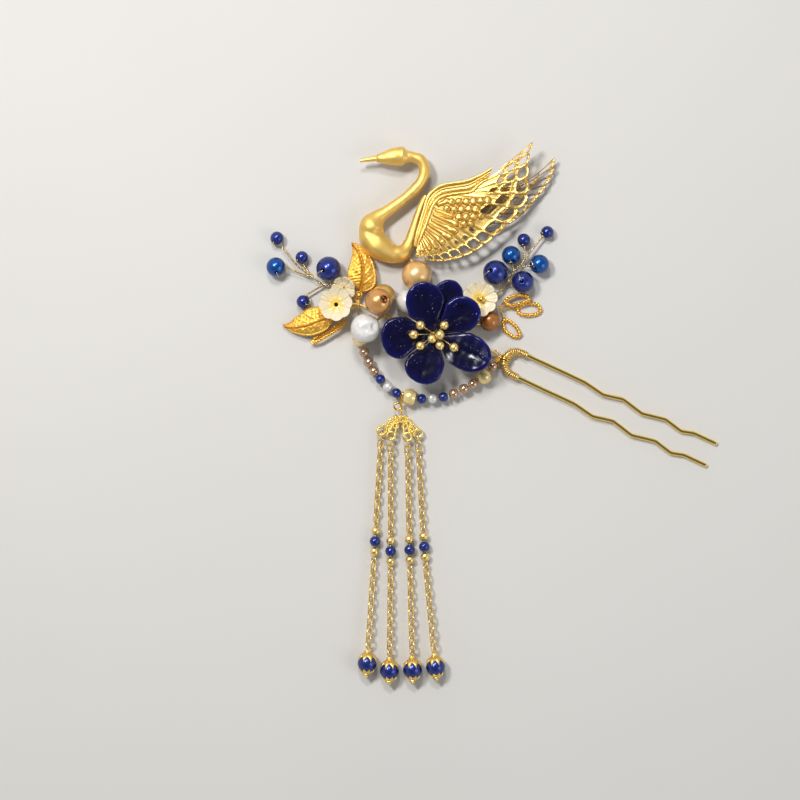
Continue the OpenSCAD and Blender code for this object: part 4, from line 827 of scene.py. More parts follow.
def wingPlate(spec):
    # a plate on u (feathers) and v with an opening between the bars, the points round it drawn onto its
    # curve; height = domes of scales and coverts + bars + rims
    f, (bandLines, innerLines, outerLines) = spec["feathers"], spec["lines"]
    lines = np.concatenate([np.linspace(-1, 0, bandLines)[:-1], np.linspace(0, 0.42, innerLines)[:-1],
                            np.linspace(0.42, 1, outerLines)])
    line, v = np.meshgrid(np.linspace(0, f, f * spec["columns"] + 1), lines, indexing="ij")
    feather = np.minimum(np.floor(line + 1e-9), f - 1)
    steps = np.linalg.norm(np.gradient(wingPlaces(spec, line, v)[0], axis=0), axis=-1)
    width = np.maximum(steps * spec["columns"], 0.3)
    x = line - feather
    faceU, faceV = ((p[:-1, :-1] + p[1:, 1:]) / 2 for p in (line, v))
    number = np.floor(faceU)
    keep, rim = np.ones(faceU.shape, bool), np.zeros(v.shape)
    centre = 0.5 + wingSpec["topEdge"] * (feather < 1)
    for opening in spec["openings"]:
        first, last = opening[2:4]
        far = openingPlace(opening, faceU - number, faceV, number, width[:-1, :-1])[0]
        gone = (far < 1) & (number >= first) & (number < last)
        keep &= ~gone
        far, middle = openingPlace(opening, x, v, feather, width)
        mine = (feather >= first) & (feather < last)
        edge = touched(gone, False) & touched(~gone, True) & mine
        pull = 1 / np.maximum(far, 0.2)
        x, v = np.where(edge, centre + (x - centre) * pull, x), np.where(edge, middle + (v - middle) * pull, v)
        rim = np.maximum(rim, mine * hump(np.where(edge, 1.0, far), 1.10, 0.14))
    short = (spec["notch"] * np.abs(2 * x - 1) ** 2.5 * np.clip(1.1 - feather / f * 1.6, 0, 1)
             * ramp(v, 0.8, 1.0))
    place, bandLength, fanLength = wingPlaces(spec, feather + x, v - short)
    s = v * np.where(v < 0, bandLength, fanLength)
    dome, near = scaleDomes(spec, place)
    outside, onBand = ramp(v, 0.40, 0.46), v < 0
    beading = 0.3 + 0.22 * np.cos(tau * s * 1.1) * np.cos(tau * line * 2.2)
    grains = onBand * hump(s, -0.38 * bandLength, 0.4) * beading
    shaft = outside * hump(np.minimum(x, 1 - x) * width, 0, 0.3)
    quill = outside * hump((x - 0.5) * width, 0, 0.14)
    barbs = outside * np.cos(tau * (s * 1.3 + np.abs(x - 0.5) * 2.0))
    soft = np.cos(tau * (x - 0.5)) * (1 - outside) * ~onBand
    h = np.clip(grains + 1.3 * dome + 0.5 * shaft + 0.16 * quill + 0.03 * barbs + 0.4 * rim
                + 0.35 * hump(v, 0.985, 0.016) + 0.12 * soft, 0, 1.35)
    flat = lifted(place, 0.0)
    h += 0.02 * noise3(flat, 4.0, 31)
    rise = (spec["low"] + spec["rise"] * np.clip(v, 0, 1) * (1 - 0.6 * line / f)
            + 0.35 * noise3(flat, 9.0, 33) * np.clip(v - 0.5, 0, 1))
    plate = wingSpec["plate"] * (1 - 0.35 * ramp(v, 0.4, 0.8))
    # painted shade: the tone darkens a ring just outside each scale and covert, and a line along the band
    groove = ramp(near, 0.88, 0.98) * ramp(near, 1.4, 1.1)
    bandShade = onBand * ramp(np.abs(s + 0.16 * bandLength), 0.35, 0)
    tone = np.clip(groove * 0.9 + bandShade * 0.7, 0, 1)
    return shapedPlate(lifted(place, rise + plate + wingSpec["relief"] * h), lifted(place, rise), keep, tone)


def ridgeTube(spec, share, radius, lift, last=1.0):
    # a round bead of metal along the band, share 0 on the outer ridge and 1 on the inner one
    u = np.linspace(0, last, 110)
    row = along(spec["rows"], u)
    place = row[:, 0:2] * (1 - share) + row[:, 2:4] * share
    taper = np.clip(0.4 + 4 * np.minimum(u + 0.02, last - u + 0.02), 0.3, 1)
    return tubePart(lifted(place, spec["low"] + wingSpec["plate"] + lift), radius * taper, 12)


for name, finish, node in (("front", "wingGold", "wing_front"), ("back", "backWingGold", "wing_back")):
    wing = wingSpec[name]
    makePiece("wing" + name.capitalize(), [wingPlate(wing)] + [ridgeTube(wing, *ridge) for ridge in wing["ridges"]],
              finish, node, 40)
print("wings made")


# Leaves: a rib, side veins, a beaded rim and a ring at the foot

leafSpec = {
    "upper": [(-43.9, 40.9, 0.9, 0.9, 3.2), (-43.1, 43.3, 4.0, 4.4, 3.4), (-42.8, 46.3, 4.2, 5.5, 3.3),
              (-43.0, 49.8, 3.5, 4.8, 2.9),
              (-44.0, 53.2, 2.4, 3.1, 2.3), (-45.4, 55.6, 1.3, 1.4, 1.7), (-46.8, 57.1, 0.2, 0.2, 1.3)],
    "lower": [(-52.4, 32.4, 0.9, 0.9, 2.8), (-55.1, 32.2, 3.6, 3.4, 3.2), (-58.3, 31.0, 4.9, 4.2, 3.3),
              (-61.4, 29.8, 4.6, 3.9, 2.9),
              (-65.4, 29.1, 3.0, 2.4, 2.2), (-67.8, 29.2, 1.3, 1.1, 1.7), (-69.7, 29.6, 0.2, 0.2, 1.3)],
    "upperRing": (-44.4, 39.7, 3.2), "lowerRing": (-51.4, 32.6, 2.8),
    "veins": 6.5, "veinHeight": 0.14, "thick": 0.8,
}


def leafPart(table):
    # top = rib line + v x width across, height = dome + veins + veinlets + rim; under side below it
    u = np.linspace(0, 1, 150)[:, None]
    v = np.sin(np.linspace(1, -1, 61) * np.pi / 2)[None, :]
    out = np.abs(v)
    row, t = along(table, u[:, 0]), heading(table, u[:, 0], 0.02)
    teeth = 1 + 0.022 * np.cos(tau * 24 * u) * (out > 0.9)
    reach = np.where(v < 0, row[:, 2:3], row[:, 3:4]) * v * teeth
    place = np.stack([row[:, 0:1] - t[:, 1:2] * reach, row[:, 1:2] + t[:, 0:1] * reach], -1)
    phase = leafSpec["veins"] * u - 1.5 * out
    vein = leafSpec["veinHeight"] * hump(phase, np.round(phase), 0.09) * (1 - out ** 3) * np.sqrt(np.clip(u * 4, 0, 1))
    net = np.cos(tau * phase * 2.5) * np.cos(tau * out * 5)
    small = 0.07 * (net + noise3(lifted(place, 0.0), 1.6, 81)) * (out < 0.85)
    rib = 0.40 * hump(reach, 0, 0.26) - 0.3 * hump(reach, 0.55, 0.2)
    beads = hump(out, 0.93, 0.05) * (0.18 + 0.10 * np.cos(tau * 30 * u))
    base = row[:, 4:5] + 0.9 * (1 - v * v) * np.sin(np.pi * u)
    # painted shade: the tone darkens the top where its relief is low, as in the grooves beside the rib, and the under
    # side evenly
    tone = np.clip(0.3 - (vein + 1.8 * rib + beads + 1.2 * small) / 0.32, 0, 0.9)
    under = base - leafSpec["thick"] * (1 - 0.5 * out ** 6)
    grid = np.concatenate([lifted(place, base + vein + small + rib + beads), lifted(place, under)[:, ::-1]], 1)
    return sheetPart(grid, False, True, True, np.concatenate([tone, np.full(tone.shape, 0.4)], 1))


for name in ("upper", "lower"):
    ring = np.array(leafSpec[name + "Ring"]) - [0, 0, leafSpec["thick"] / 2]
    makePiece(name + "Leaf", [leafPart(leafSpec[name]), ringPart(ring, 1.0, 0.3, steps=30, sides=10)],
              "leafGold", "leaf_" + name, 60)
print("leaves made")


# The lapis flower: cupped petals round eight beaded stamens

flowerSpec = {
    "middle": (-19.2, 26.4), "foot": (-19.2, 26.4, 10.0), "hub": (-19.0, 26.5, 6.8),
    # x, y, z of the middle, half length, half width, slope, inner end from the flower, degrees that the
    # inner end opens to its left and right, fold, ripple, how strongly painted rim light brightens the rim
    "petals": [(-22.6, 37.3, 10.2, 6.3, 6.4, 0.12, 1.0, 38, 34, 0.10, 0.05, 0.7),
               (-14.8, 39.2, 7.7, 5.3, 5.1, 0.04, 5.2, 12, 12, 0.05, 0.04, 0.7),
               (-10.1, 33.0, 10.2, 6.0, 6.0, 0.12, 1.0, 34, 31, 0.10, 0.05, 1.0),
               (-31.3, 25.2, 10.1, 5.7, 6.9, 0.12, 1.0, 31.5, 37, 0.10, 0.06, 0.5),
               (-22.8, 15.6, 10.1, 5.7, 6.4, 0.12, 1.0, 38, 31.5, 0.10, 0.06, 0.6),
               (-8.2, 20.4, 10.0, 7.9, 6.2, 0.10, 1.0, 31, 38, 0.2, 0.08, 0.7)],
    "thick": 2.4, "cup": 0.75,
    "stamens": [(-24.0, 29.3, 13.2), (-26.2, 26.2, 13.1), (-24.0, 22.5, 13.1), (-20.2, 24.8, 13.45),
                (-17.6, 26.1, 14.9), (-16.2, 29.2, 13.1), (-17.6, 22.6, 13.3), (-13.0, 22.0, 13.1)],
    "bead": 3.0, "wire": 0.17,
}


def petalReach(p, a, seed):
    # ellipse, and towards the flower's middle straight sides that end in a wedge, its corners smoothed;
    # the rim is a little wavy away from the wedge
    x, y, _, half, wide, _, inner, left, right = p[:9]
    far = math.dist((x, y), flowerSpec["middle"])
    around = half * wide / np.hypot(wide * np.cos(a), half * np.sin(a))
    off = np.abs(a - np.pi)                                  # angle from the way to the flower's middle
    w = np.radians(np.where(a < np.pi, left, right))
    wedge = np.minimum(far * np.sin(w) / np.sin(np.minimum(w + off, 3.0)), (far - inner) / np.cos(np.minimum(off, 1.5)))
    sides = np.minimum(wedge, wide / np.sin(np.maximum(off, 0.05)))
    reach = np.maximum(around, np.where(off > 1.57, 0, sides))
    soft = np.hanning(9) / np.hanning(9).sum()
    reach = np.convolve(np.concatenate([reach[-4:], reach, reach[:4]]), soft, "valid")
    wave = 0.015 * np.sin(3 * a + seed) - 0.01 * np.sin(5 * a + 2 * seed) ** 2
    return reach * (1 + wave * np.clip(off, 0, 1))


def petalPart(p, seed):
    # height = slope x + cup (y y + x x) / w w, with a fold along the middle and ripples that grow to the
    # rim; the two faces meet in a thin round edge
    at, half, wide, slope, fold, ripple, rimLight = p[:3], p[3], p[4], p[5], *p[9:]
    a = np.linspace(0, tau, 144, endpoint=False)
    level = np.concatenate([np.linspace(0.03, 0.88, 22), 1 - (1 - np.linspace(0, 1, 12)) ** 2 * 0.12])
    level = np.unique(np.round(level, 5))[:, None]
    reach = level * petalReach(p, a, seed)
    x, y = reach * np.cos(a), reach * np.sin(a)
    side = np.sqrt(np.clip(1 - level ** 4, 0, 1))
    lift = slope * x + flowerSpec["cup"] * (y * y + np.maximum(x, 0) ** 2) / wide ** 2
    wave = ripple * np.cos(7 * a + seed * 1.7) * level ** 3
    # painted rim light: tone grows towards the rim and towards one side of the petal, and the under side gets less of
    # it
    edge = rimLight * ramp(level, 0.35, 1.0) ** 2 * np.clip(0.65 + 0.5 * (x + 0.6 * y) / half, 0, 1)
    skin = 0.05 * noise3(np.stack([x, y, 0 * x + seed], -1), 3.4, 40 + seed) * side
    upper = skin + wave + 0.10 * hump(level, 0.88, 0.08) - fold * hump(y, 0, 0.13 * wide) * np.clip(1.15 - level, 0, 1)
    wall = flowerSpec["thick"] / 2 * side
    under, top = np.stack([x, y, lift - wall + 0.4 * wave], -1), np.stack([x, y, lift + wall + upper], -1)
    grid, tone = np.concatenate([under, top[-2::-1]]), np.concatenate([0.3 * edge, edge[-2::-1]])
    part = sheetPart(grid, False, True, True, tone)
    outward = np.subtract(at[:2], flowerSpec["middle"])
    turn = turnMatrix("Z", math.atan2(outward[1], outward[0]))
    return reshaped(part, part[0] @ turn.T + at)


def makeFlower():
    # petals, and stamens: a wire from the foot, a bored bead, a ring below it and a grain on top
    spec = flowerSpec
    for k, p in enumerate(spec["petals"], 1):
        makePiece("petal%d" % k, [petalPart(p, k)], "chalkyLapis" if k == 6 else "lapis", "petal_%d" % k)
    foot = np.array(spec["foot"])
    top, hub, r = foot + [0, 0, 0.5], np.array(spec["hub"]) + [0, 0, 0.75], spec["bead"] / 2 - 0.02
    wires, beads = [tubePart([hub, foot, top + [0, 0, 0.1]], [0.5, 0.4, 0.25], 10, (1, 0, 0))], []
    for k, s in enumerate(np.array(spec["stamens"])):
        way = unit(s - top)
        bow = np.array([0, 0, 0.06 * (-1) ** k])
        bent = [top - way * 0.1, top + (s - top) * 0.4 + bow, s + way * 0.25]
        wires.append(wirePart(bent, spec["wire"], 7, (-way[1], way[0], 0.01)))
        beads += [boredBall(s, spec["bead"], -way, spec["wire"] + 0.13, 18, 28),
                  ringPart(s - way * r, 0.46, 0.1, way, steps=14, sides=6), ballPart(s + way * r, 0.55, 6, 10)]
    makePiece("stamenWires", wires, "stemGold", "stamen_wires")
    makePiece("stamenBeads", beads, "stamenGold", "stamen_beads")


makeFlower()
print("flower made")


# Pearls on the frame's wires

pearlSpec = {
    "white": {"at": (-42.2, 28.3, 9.75), "d": 9.8}, "top": {"at": (-25.2, 46.0, 5.0), "d": 10.0},
    "bronze": {"at": (-37.8, 37.0, 12.35), "d": 8.8, "way": (2.1, 0.8, 3.78), "mouth": 1.35, "floor": 2.9, "lip": 0.25},
    "back": {"at": (-36.2, 39.2, 4.05), "d": 8.1}, "small": {"at": (-28.2, 37.4, 3.9), "d": 7.8},
    "brown": {"at": (-0.9, 30.9, 3.5), "d": 7.0}, "hole": 0.57, "stem": (-36.0, 33.0, 3.5),
    # dents of the white pearl: place from its middle, width, depth
    "dents": [((0.3, -0.6, 4.9), 1.4, 0.8), ((3.1, 0.5, 3.8), 1.3, 0.85), ((-1.9, 2.4, 3.9), 1.5, 0.2),
              ((1.6, -3.4, 3.2), 1.2, 0.25)],
}


def whiteSkin(points):
    # how far the white pearl's skin stands out: noise, and the dents
    dents = sum(deep * hump(np.linalg.norm(points - np.array(middle), axis=1), 0, width)
                for middle, width, deep in pearlSpec["dents"])
    return 0.09 * noise3(points, 5.0, 51) + 0.035 * noise3(points, 2.0, 52) - 0.05 - dents


def plainSkin(points):
    return 0.05 * noise3(points, 4.0, 53) - 0.04


def pearlPart(key, origin, rings, sides, skin, inner, outer):
    # a ball bored towards its wire, its skin uneven beyond the inner radius
    at = np.array(pearlSpec[key]["at"])
    part = boredBall(at, pearlSpec[key]["d"], origin - at, pearlSpec["hole"], rings, sides)
    points = part[0] - at
    size = np.linalg.norm(points, axis=1)
    share = 1 + ramp(size, inner, outer) * skin(points) / np.maximum(size, 0.1)
    return reshaped(part, points * share[:, None] + at)


def makePearls():
    spec = pearlSpec
    hub, stem, hole = np.array(flowerSpec["hub"]), np.array(spec["stem"]), spec["hole"]
    makePiece("whitePearl", [pearlPart("white", stem, 60, 90, whiteSkin, 3.9, 4.8)], "whitePearl", "pearl_white")
    at, d = np.array(spec["top"]["at"]), spec["top"]["d"]
    rim = ringPart(at + unit(at - hub) * (d / 2 - 0.02), 0.78, 0.14, at - hub, steps=20, sides=6)
    makePiece("topPearl", [beadPart(at, d, at - hub, hole, 40, 64), rim], "peachPearl", "pearl_gold_top")
    # the bronze pearl's wide mouth narrows at a floor to the wire's hole
    bronze = spec["bronze"]
    r, mouth, floor, lip = bronze["d"] / 2, bronze["mouth"], bronze["floor"], bronze["lip"]
    low, high = math.asin((hole + 0.15) / r), math.asin((mouth + lip) / r)
    outside = arc(r, np.pi - low, high, 44)
    inside = [(mouth, floor + 0.5), (mouth - 0.1, floor + 0.12), (mouth - 0.3, floor), (hole + 0.1, floor),
              (hole, floor - 0.1), (hole, 0.0), (hole, -r + 0.1), (hole + 0.05, -r + 0.02)]
    profile = np.concatenate([outside, lipArc(mouth, r * math.cos(high) + 0.02, lip, 0.2, 5), inside])
    # painted shade: the inside of the mouth and the hole take the hole's dark colour
    dark = np.arange(len(profile)) >= len(profile) - len(inside)
    makePiece("bronzePearl", [moved(turnedPart(profile, 64, True, dark), bronze["at"], bronze["way"])],
              "bronzePearl", "pearl_bronze")
    for key, finish, node, origin in (("back", "yellowPearl", "pearl_gold_back", stem),
                                      ("small", "whitePearl", "pearl_white_small", hub),
                                      ("brown", "brownPearl", "pearl_brown", hub)):
        makePiece(key + "Pearl", [pearlPart(key, origin, 36, 56, plainSkin, 2.6, 3.4)], finish, node)


makePearls()
print("pearls made")


# Shell flowers: drilled, cupped and scalloped discs

shellSpec = {
    "left": {"at": (-51.7, 36.2, 5.4), "face": (-0.12, 0.1, 1), "d": 11.2, "lobes": 8, "cup": 2.0},
    "back": {"at": (-48.9, 42.2, 3.4), "face": (-0.3, -0.35, 1), "d": 8.2, "lobes": 7, "cup": 1.5},
    "right": {"at": (-4.6, 37.9, 5.2), "face": (0.1, 0.1, 1), "d": 11.8, "lobes": 9, "cup": 2.0},
    "thick": 1.1, "hole": 0.13, "scallop": 0.11, "shadeDisc": (-0.05, 0.04, 0.45), "bead": (0.9, 0.1, 2.45), "beadD": 1.9,
}


def shellPart(one, seed):
    # out = radius (1 - scallop dip), dip = 1 - |cos(lobes a / 2)|; height = cup s^2.2 - dip s + wall, with
    # a cut line between the lobes, fine rays on each lobe, and a rim that curls a little
    a, lobes, hole = circle(168), one["lobes"], shellSpec["hole"]
    up = hole + (1 - hole) * np.linspace(0, 1, 30)
    zero = np.zeros(30)
    s = np.concatenate([up, np.ones(4), up[::-1]])[:, None]
    w = np.concatenate([zero, (0.1, 0.35, 0.65, 0.9), zero + 1])[:, None]      # share of the wall, from below
    bulge = np.concatenate([zero, (0.02, 0.045, 0.045, 0.02), zero])[:, None]
    dip, top = 1 - np.abs(np.cos(lobes * a / 2)), (w > 0.95) * 1.0
    reach = one["d"] / 2 * (s + bulge * 0.4) * (1 - shellSpec["scallop"] * dip * s) * (1 + 0.008 * np.sin(3 * a + seed))
    cut = -0.34 * ramp(dip, 0.66, 1.0) ** 2 * np.clip((s - 0.3) * 3, 0, 1)
    rays = 0.09 * np.cos(lobes * 3 * a) * np.clip(s - 0.35, 0, 1)
    curl = -0.22 * ramp(s, 0.86, 1.0) ** 2
    ledge = 0.10 * hump(s, 0.36, 0.06)
    z = (one["cup"] * np.clip(s, 0, 1) ** 2.2 - 0.35 * dip * s + w * shellSpec["thick"]
         + (cut + rays + curl + ledge) * top)
    grid = np.stack([reach * np.cos(a), reach * np.sin(a), z], -1)
    grid[..., 2] += 0.05 * noise3(grid, 3.0, 60 + seed) * top
    tone = np.clip(1.5 - s * 2.2, 0, 1) + 0.25 * ramp(dip, 0.8, 1.0) * (s > 0.4)
    return moved(sheetPart(grid, True, True, tone=np.clip(tone * top, 0, 1)), one["at"], one["face"])


def makeShells():
    # the left shell's hole is covered by a flat dark disc, painted shade standing in for the hole's depth, and the
    # right one holds a small bead on a ring
    left, back, right = (shellPart(shellSpec[key], seed) for seed, key in enumerate(("left", "back", "right"), 1))
    shadeDisc = ballPart(np.add(shellSpec["left"]["at"], shellSpec["shadeDisc"]), 1.9, 8, 20, (1, 1, 0.3))
    makePiece("leftShell", [left, shadeDisc], "warmShell", "shell_flower_left", 60, "paintedHoleShade")
    makePiece("backShell", [back], "whiteShell", "shell_flower_back", 60)
    makePiece("rightShell", [right], "warmShell", "shell_flower_right", 60)
    at = np.add(shellSpec["right"]["at"], shellSpec["bead"])
    ring = ringPart(at - [0, 0, 0.55], shellSpec["beadD"] / 2, 0.16, steps=26, sides=8)
    makePiece("rightShellBead", [ballPart(at, shellSpec["beadD"], 16, 24), ring], "polishedGold")


makeShells()
print("shells made")


# Sprays: beads on stems of two twisted wires

spraySpec = {
    "leftStems": [[(-46.2, 38.4, 1.2), (-53.6, 42.6, 1.6), (-56.3, 42.9, 1.9), (-59.6, 45.4, 2.2)],
                  [(-59.6, 45.4, 2.2), (-65.6, 49.9, 2.2), (-70.1, 55.9, 2.2), (-71.6, 58.5, 2.25)],
                  [(-59.6, 45.4, 2.2), (-64.1, 46.9, 2.4), (-68.0, 48.6, 3.0), (-71.9, 48.9, 3.2)],
                  [(-59.6, 45.4, 2.2), (-62.4, 48.8, 2.2), (-63.3, 52.1, 2.15)],
                  [(-53.6, 42.6, 1.6), (-54.4, 48.2, 4.15)],
                  [(-56.3, 42.9, 1.9), (-61.5, 39.9, 2.1), (-62.9, 37.4, 2.2)]],
    # x, y, size, stem, and how far right of and above its middle the bead's hole is seen
    "leftNavy": [(-71.6, 58.5, 4.5, 1, -1.0, -1.3), (-63.3, 52.1, 4.3, 3, -1.5, -0.8),
                 (-54.4, 48.2, 8.3, 4, -1.9, -0.7),
                 (-62.9, 37.4, 4.4, 5, 0.7, -0.9)],
    "leftTeal": [(-71.9, 48.9, 6.4, 2, 0.3, -2.1)],
    "rightStems": [[(-5.6, 36.2, 2.2), (2.7, 40.7, 2.4), (7.1, 47.3, 2.5), (10.7, 51.3, 2.5)],
                   [(10.7, 51.3, 2.5), (15.9, 58.0, 2.3), (18.3, 60.5, 2.1)],
                   [(10.7, 51.3, 2.5), (10.8, 54.9, 2.3), (10.5, 57.9, 2.2)],
                   [(2.7, 40.7, 2.4), (1.0, 47.0, 4.15)],
                   [(5.0, 44.1, 2.45), (6.2, 44.0, 2.9), (10.1, 43.9, 3.7)],
                   [(7.1, 47.3, 2.5), (6.2, 52.8, 3.15)],
                   [(8.6, 49.0, 2.5), (11.9, 49.2, 2.9), (15.6, 49.8, 3.25)]],
    "rightNavy": [(18.3, 60.5, 4.2, 1, -1.4, -0.3), (10.5, 57.9, 4.4, 2, -0.2, -1.5),
                  (1.0, 47.0, 8.3, 3, -1.9, 0.5), (10.1, 43.9, 7.4, 4, -0.6, 0.1)],
    "rightTeal": [(6.2, 52.8, 6.3, 5, 0.4, -2.2), (15.6, 49.8, 6.5, 6, -1.8, -1.6)],
    "wire": 0.16, "winding": 0.17, "turn": 1.25,    # turn: millimetres for one turn of the twist
}


def stemPart(points):
    # straight runs of a stem with the corners rounded, as two wires wound round each other
    path = softened(points, 0.12, 0.6)
    return twistedPart(path, spraySpec["winding"], 0.12 * (len(path) - 1) / spraySpec["turn"], spraySpec["wire"], 6)


def stemBead(bead, stems):
    # the bead, bored on the side that is seen, and the wire that curls over it into the hole
    x, y, d, stem, right, above = bead
    r = d / 2
    at = np.array([x, y, r])
    foot = unit(np.array(stems[stem][-2]) - at)
    mouth = unit([right / r, above / r, math.sqrt(1 - (right / r) ** 2 - (above / r) ** 2)])
    side = unit(np.cross(foot, mouth))
    t = np.linspace(0, 1, 16)[:, None]
    over = unit(foot * (1 - t) + mouth * t + side * (0.7 * np.sin(np.pi * t)))
    curl = tubePart(at + over * (r + 0.15 - 0.6 * ramp(t, 0.9, 1.0)), 0.15, 6, side)
    eye = ringPart(at + foot * (r + 0.1), 0.42, 0.15, foot + np.array([0.15, 0.1, 0.2]), steps=16, sides=6)
    return boredBall(at, d, mouth, 0.4 if r < 2.5 else 0.62, 34, 48), [curl, eye]


def makeSprays():
    balls = {"Navy": [], "Teal": []}
    for side in ("left", "right"):
        stems = spraySpec[side + "Stems"]
        wires = [stemPart(points) for points in stems]
        for colour, store in balls.items():
            for bead in spraySpec[side + colour]:
                ball, curl = stemBead(bead, stems)
                store.append(ball)
                wires += curl
        makePiece(side + "Spray", wires, "stemGold", "spray_%s_stems" % side)
    for colour, store in balls.items():
        key = colour.lower()
        makePiece(key + "Pearls", store, key + "Pearl", "spray_%s_beads" % key)


makeSprays()
print("sprays made")


# Loops of rope: two wires twisted and bent into long rings

ropeSpec = {
    "right": [(8.2, 37.9, 2.1, 4.0, 1.5, 10, 0), (12.3, 34.8, 0.75, 3.9, 1.9, 0, 0),
              (6.2, 28.5, 1.0, 3.6, 1.8, -45, 0)],
    "left": [(-54.4, 27.2, 1.9, 6.4, 1.1, 32, -50)],
    "rightStems": [[(2.35, 35.5, 3.0), (3.6, 36.8, 2.2)], [(2.35, 35.5, 3.0), (5.2, 35.3, 0.9),
                                                           (7.7, 34.9, 0.75)],
                   [(2.35, 35.5, 3.0), (3.5, 33.0, 1.6), (3.5, 31.9, 1.0)]],
    "leftStems": [[(-49.1, 30.5, 1.9), (-49.5, 32.5, 1.7)]],
    "wind": 0.31, "strand": 0.35, "turn": 1.9, "lumps": 0.16, "stemWire": 0.26,
}


def ropeLoop(x, y, z, length, width, turn, tilt):
    # long lumpy ring with even steps along it, tilted about its length, then turned in the plane
    a = np.linspace(0, tau, 721)
    ring = np.stack([length * np.cos(a), width * np.sin(a), 0.12 * np.sin(2 * a + x)], -1)
    path = evenly(ring, 133)[:-1]
    path += noise3(path + x, 3.2, 71)[:, None] * ropeSpec["lumps"]
    turns = round(runLength(ring)[-1] / ropeSpec["turn"])
    part = twistedPart(path, ropeSpec["wind"], turns, ropeSpec["strand"], 7, True)
    m = turnMatrix("Z", math.radians(turn)) @ turnMatrix("X", math.radians(tilt))
    return reshaped(part, part[0] @ m.T + np.array([x, y, z]))


for side in ("right", "left"):
    stems = [wirePart(points, ropeSpec["stemWire"], 8) for points in ropeSpec[side + "Stems"]]
    makePiece(side + "Ropes", [ropeLoop(*one) for one in ropeSpec[side]] + stems, "ropeGold", "twist_loops_" + side)
print("ropes made")


# The swag: beads on one fine wire

swagSpec = {
    "beads": [(-43.8, 25.0, 2.4), (-42.6, 20.5, 1.2), (-41.1, 17.2, 1.2), (-39.3, 14.3, 1.2),
              (-37.2, 11.6, 1.2), (-34.7, 9.1, 1.2),
              (-31.9, 7.0, 1.2), (-27.5, 5.7, 2.0), (-23.5, 5.1, 1.2), (-19.9, 5.2, 1.2), (-16.3, 5.7, 1.2),
              (-12.8, 6.8, 1.2),
              (-9.4, 8.4, 1.2), (-6.4, 10.1, 1.2), (-2.8, 12.6, 2.2), (0.1, 15.9, 1.2)],
    "copper": [1, 2, 3, 11, 12, 13, 15], "blue": [4, 6, 8, 10], "white": [5, 9], "cream": [0, 14], "barrel": 7,
    "level": 2.9, "wire": 0.24, "hole": 0.5, "start": [(-44.6, 35.7, 2.2), (-44.9, 29.2, 2.9)],
    "copperD": 3.42, "blueD": 3.4, "whiteD": 3.5, "creamD": 5.3, "barrelD": 5.7, "barrelW": 3.9,
}
swagPoints = np.array([(x, y, swagSpec["level"]) for x, y, half in swagSpec["beads"]])
swagChain = np.concatenate([[swagSpec["start"][1]], swagPoints, [throat]])
swagWays = unit(swagChain[2:] - swagChain[:-2])


def swagBeads(key, rings, sides, sizes):
    # the beads of one kind, each with its own share of the full size
    spec = swagSpec
    return [beadPart(swagPoints[i], spec[key + "D"] * size, swagWays[i], spec["hole"], rings, sides)
            for i, size in zip(spec[key], sizes)]


def barrelPart():
    # a bead with round sides and flat ends, its shoulders and its hole's edges eased
    r, half, hole, soft = swagSpec["barrelD"] / 2, swagSpec["barrelW"] / 2, swagSpec["hole"], 0.16
    z = np.linspace(-half + soft, half - soft, 22)
    out = np.sqrt(r * r - z * z) - 0.02
    b = np.linspace(0.2, 1, 4) * np.pi / 2
    shoulder = np.stack([out[-1] - soft * (1 - np.cos(b)) * 2, half - soft + soft * np.sin(b)], -1)
    end = np.array([(1.2, half), (hole + 0.12, half), (hole, half - 0.12)])
    profile = np.concatenate([np.stack([out, z], -1), shoulder, end, [(hole, 0)], end[::-1] * [1, -1],
                              shoulder[::-1] * [1, -1]])
    i = swagSpec["barrel"]
    # tone marks the hole, which the material darkens as painted shade
    return moved(turnedPart(profile, 48, True, profile[:, 0] < hole + 0.05), swagPoints[i], swagWays[i])


def makeSwag():
    # the wire runs straight through each bead; bead sizes vary by two hundredths
    points = list(swagSpec["start"])
    for at, way, (x, y, half) in zip(swagPoints, swagWays, swagSpec["beads"]):
        points += [at - way * half, at + way * half]
    points.append(throat + unit(swagPoints[-1] - throat) * 1.45)
    makePiece("swagWire", [tubePart(softened(points, 0.2, 0.5), swagSpec["wire"], 7)], "polishedGold", "swag_wire")
    rng = np.random.default_rng(8)
    for key, finish in (("copper", "copperPearl"), ("blue", "navyPearl"), ("white", "seedWhite")):
        sizes = [rng.uniform(0.98, 1.0) for i in swagSpec[key]]
        makePiece("swag" + key.capitalize(), swagBeads(key, 20, 30, sizes), finish, "swag_%s_beads" % key)
    makePiece("swagCream", swagBeads("cream", 28, 44, (1, 1)) + [barrelPart()], "creamPearl", "swag_cream_beads")


makeSwag()
print("swag made")


# The tassel: hook, filigree bead cap, and four chains with beads and capped drops

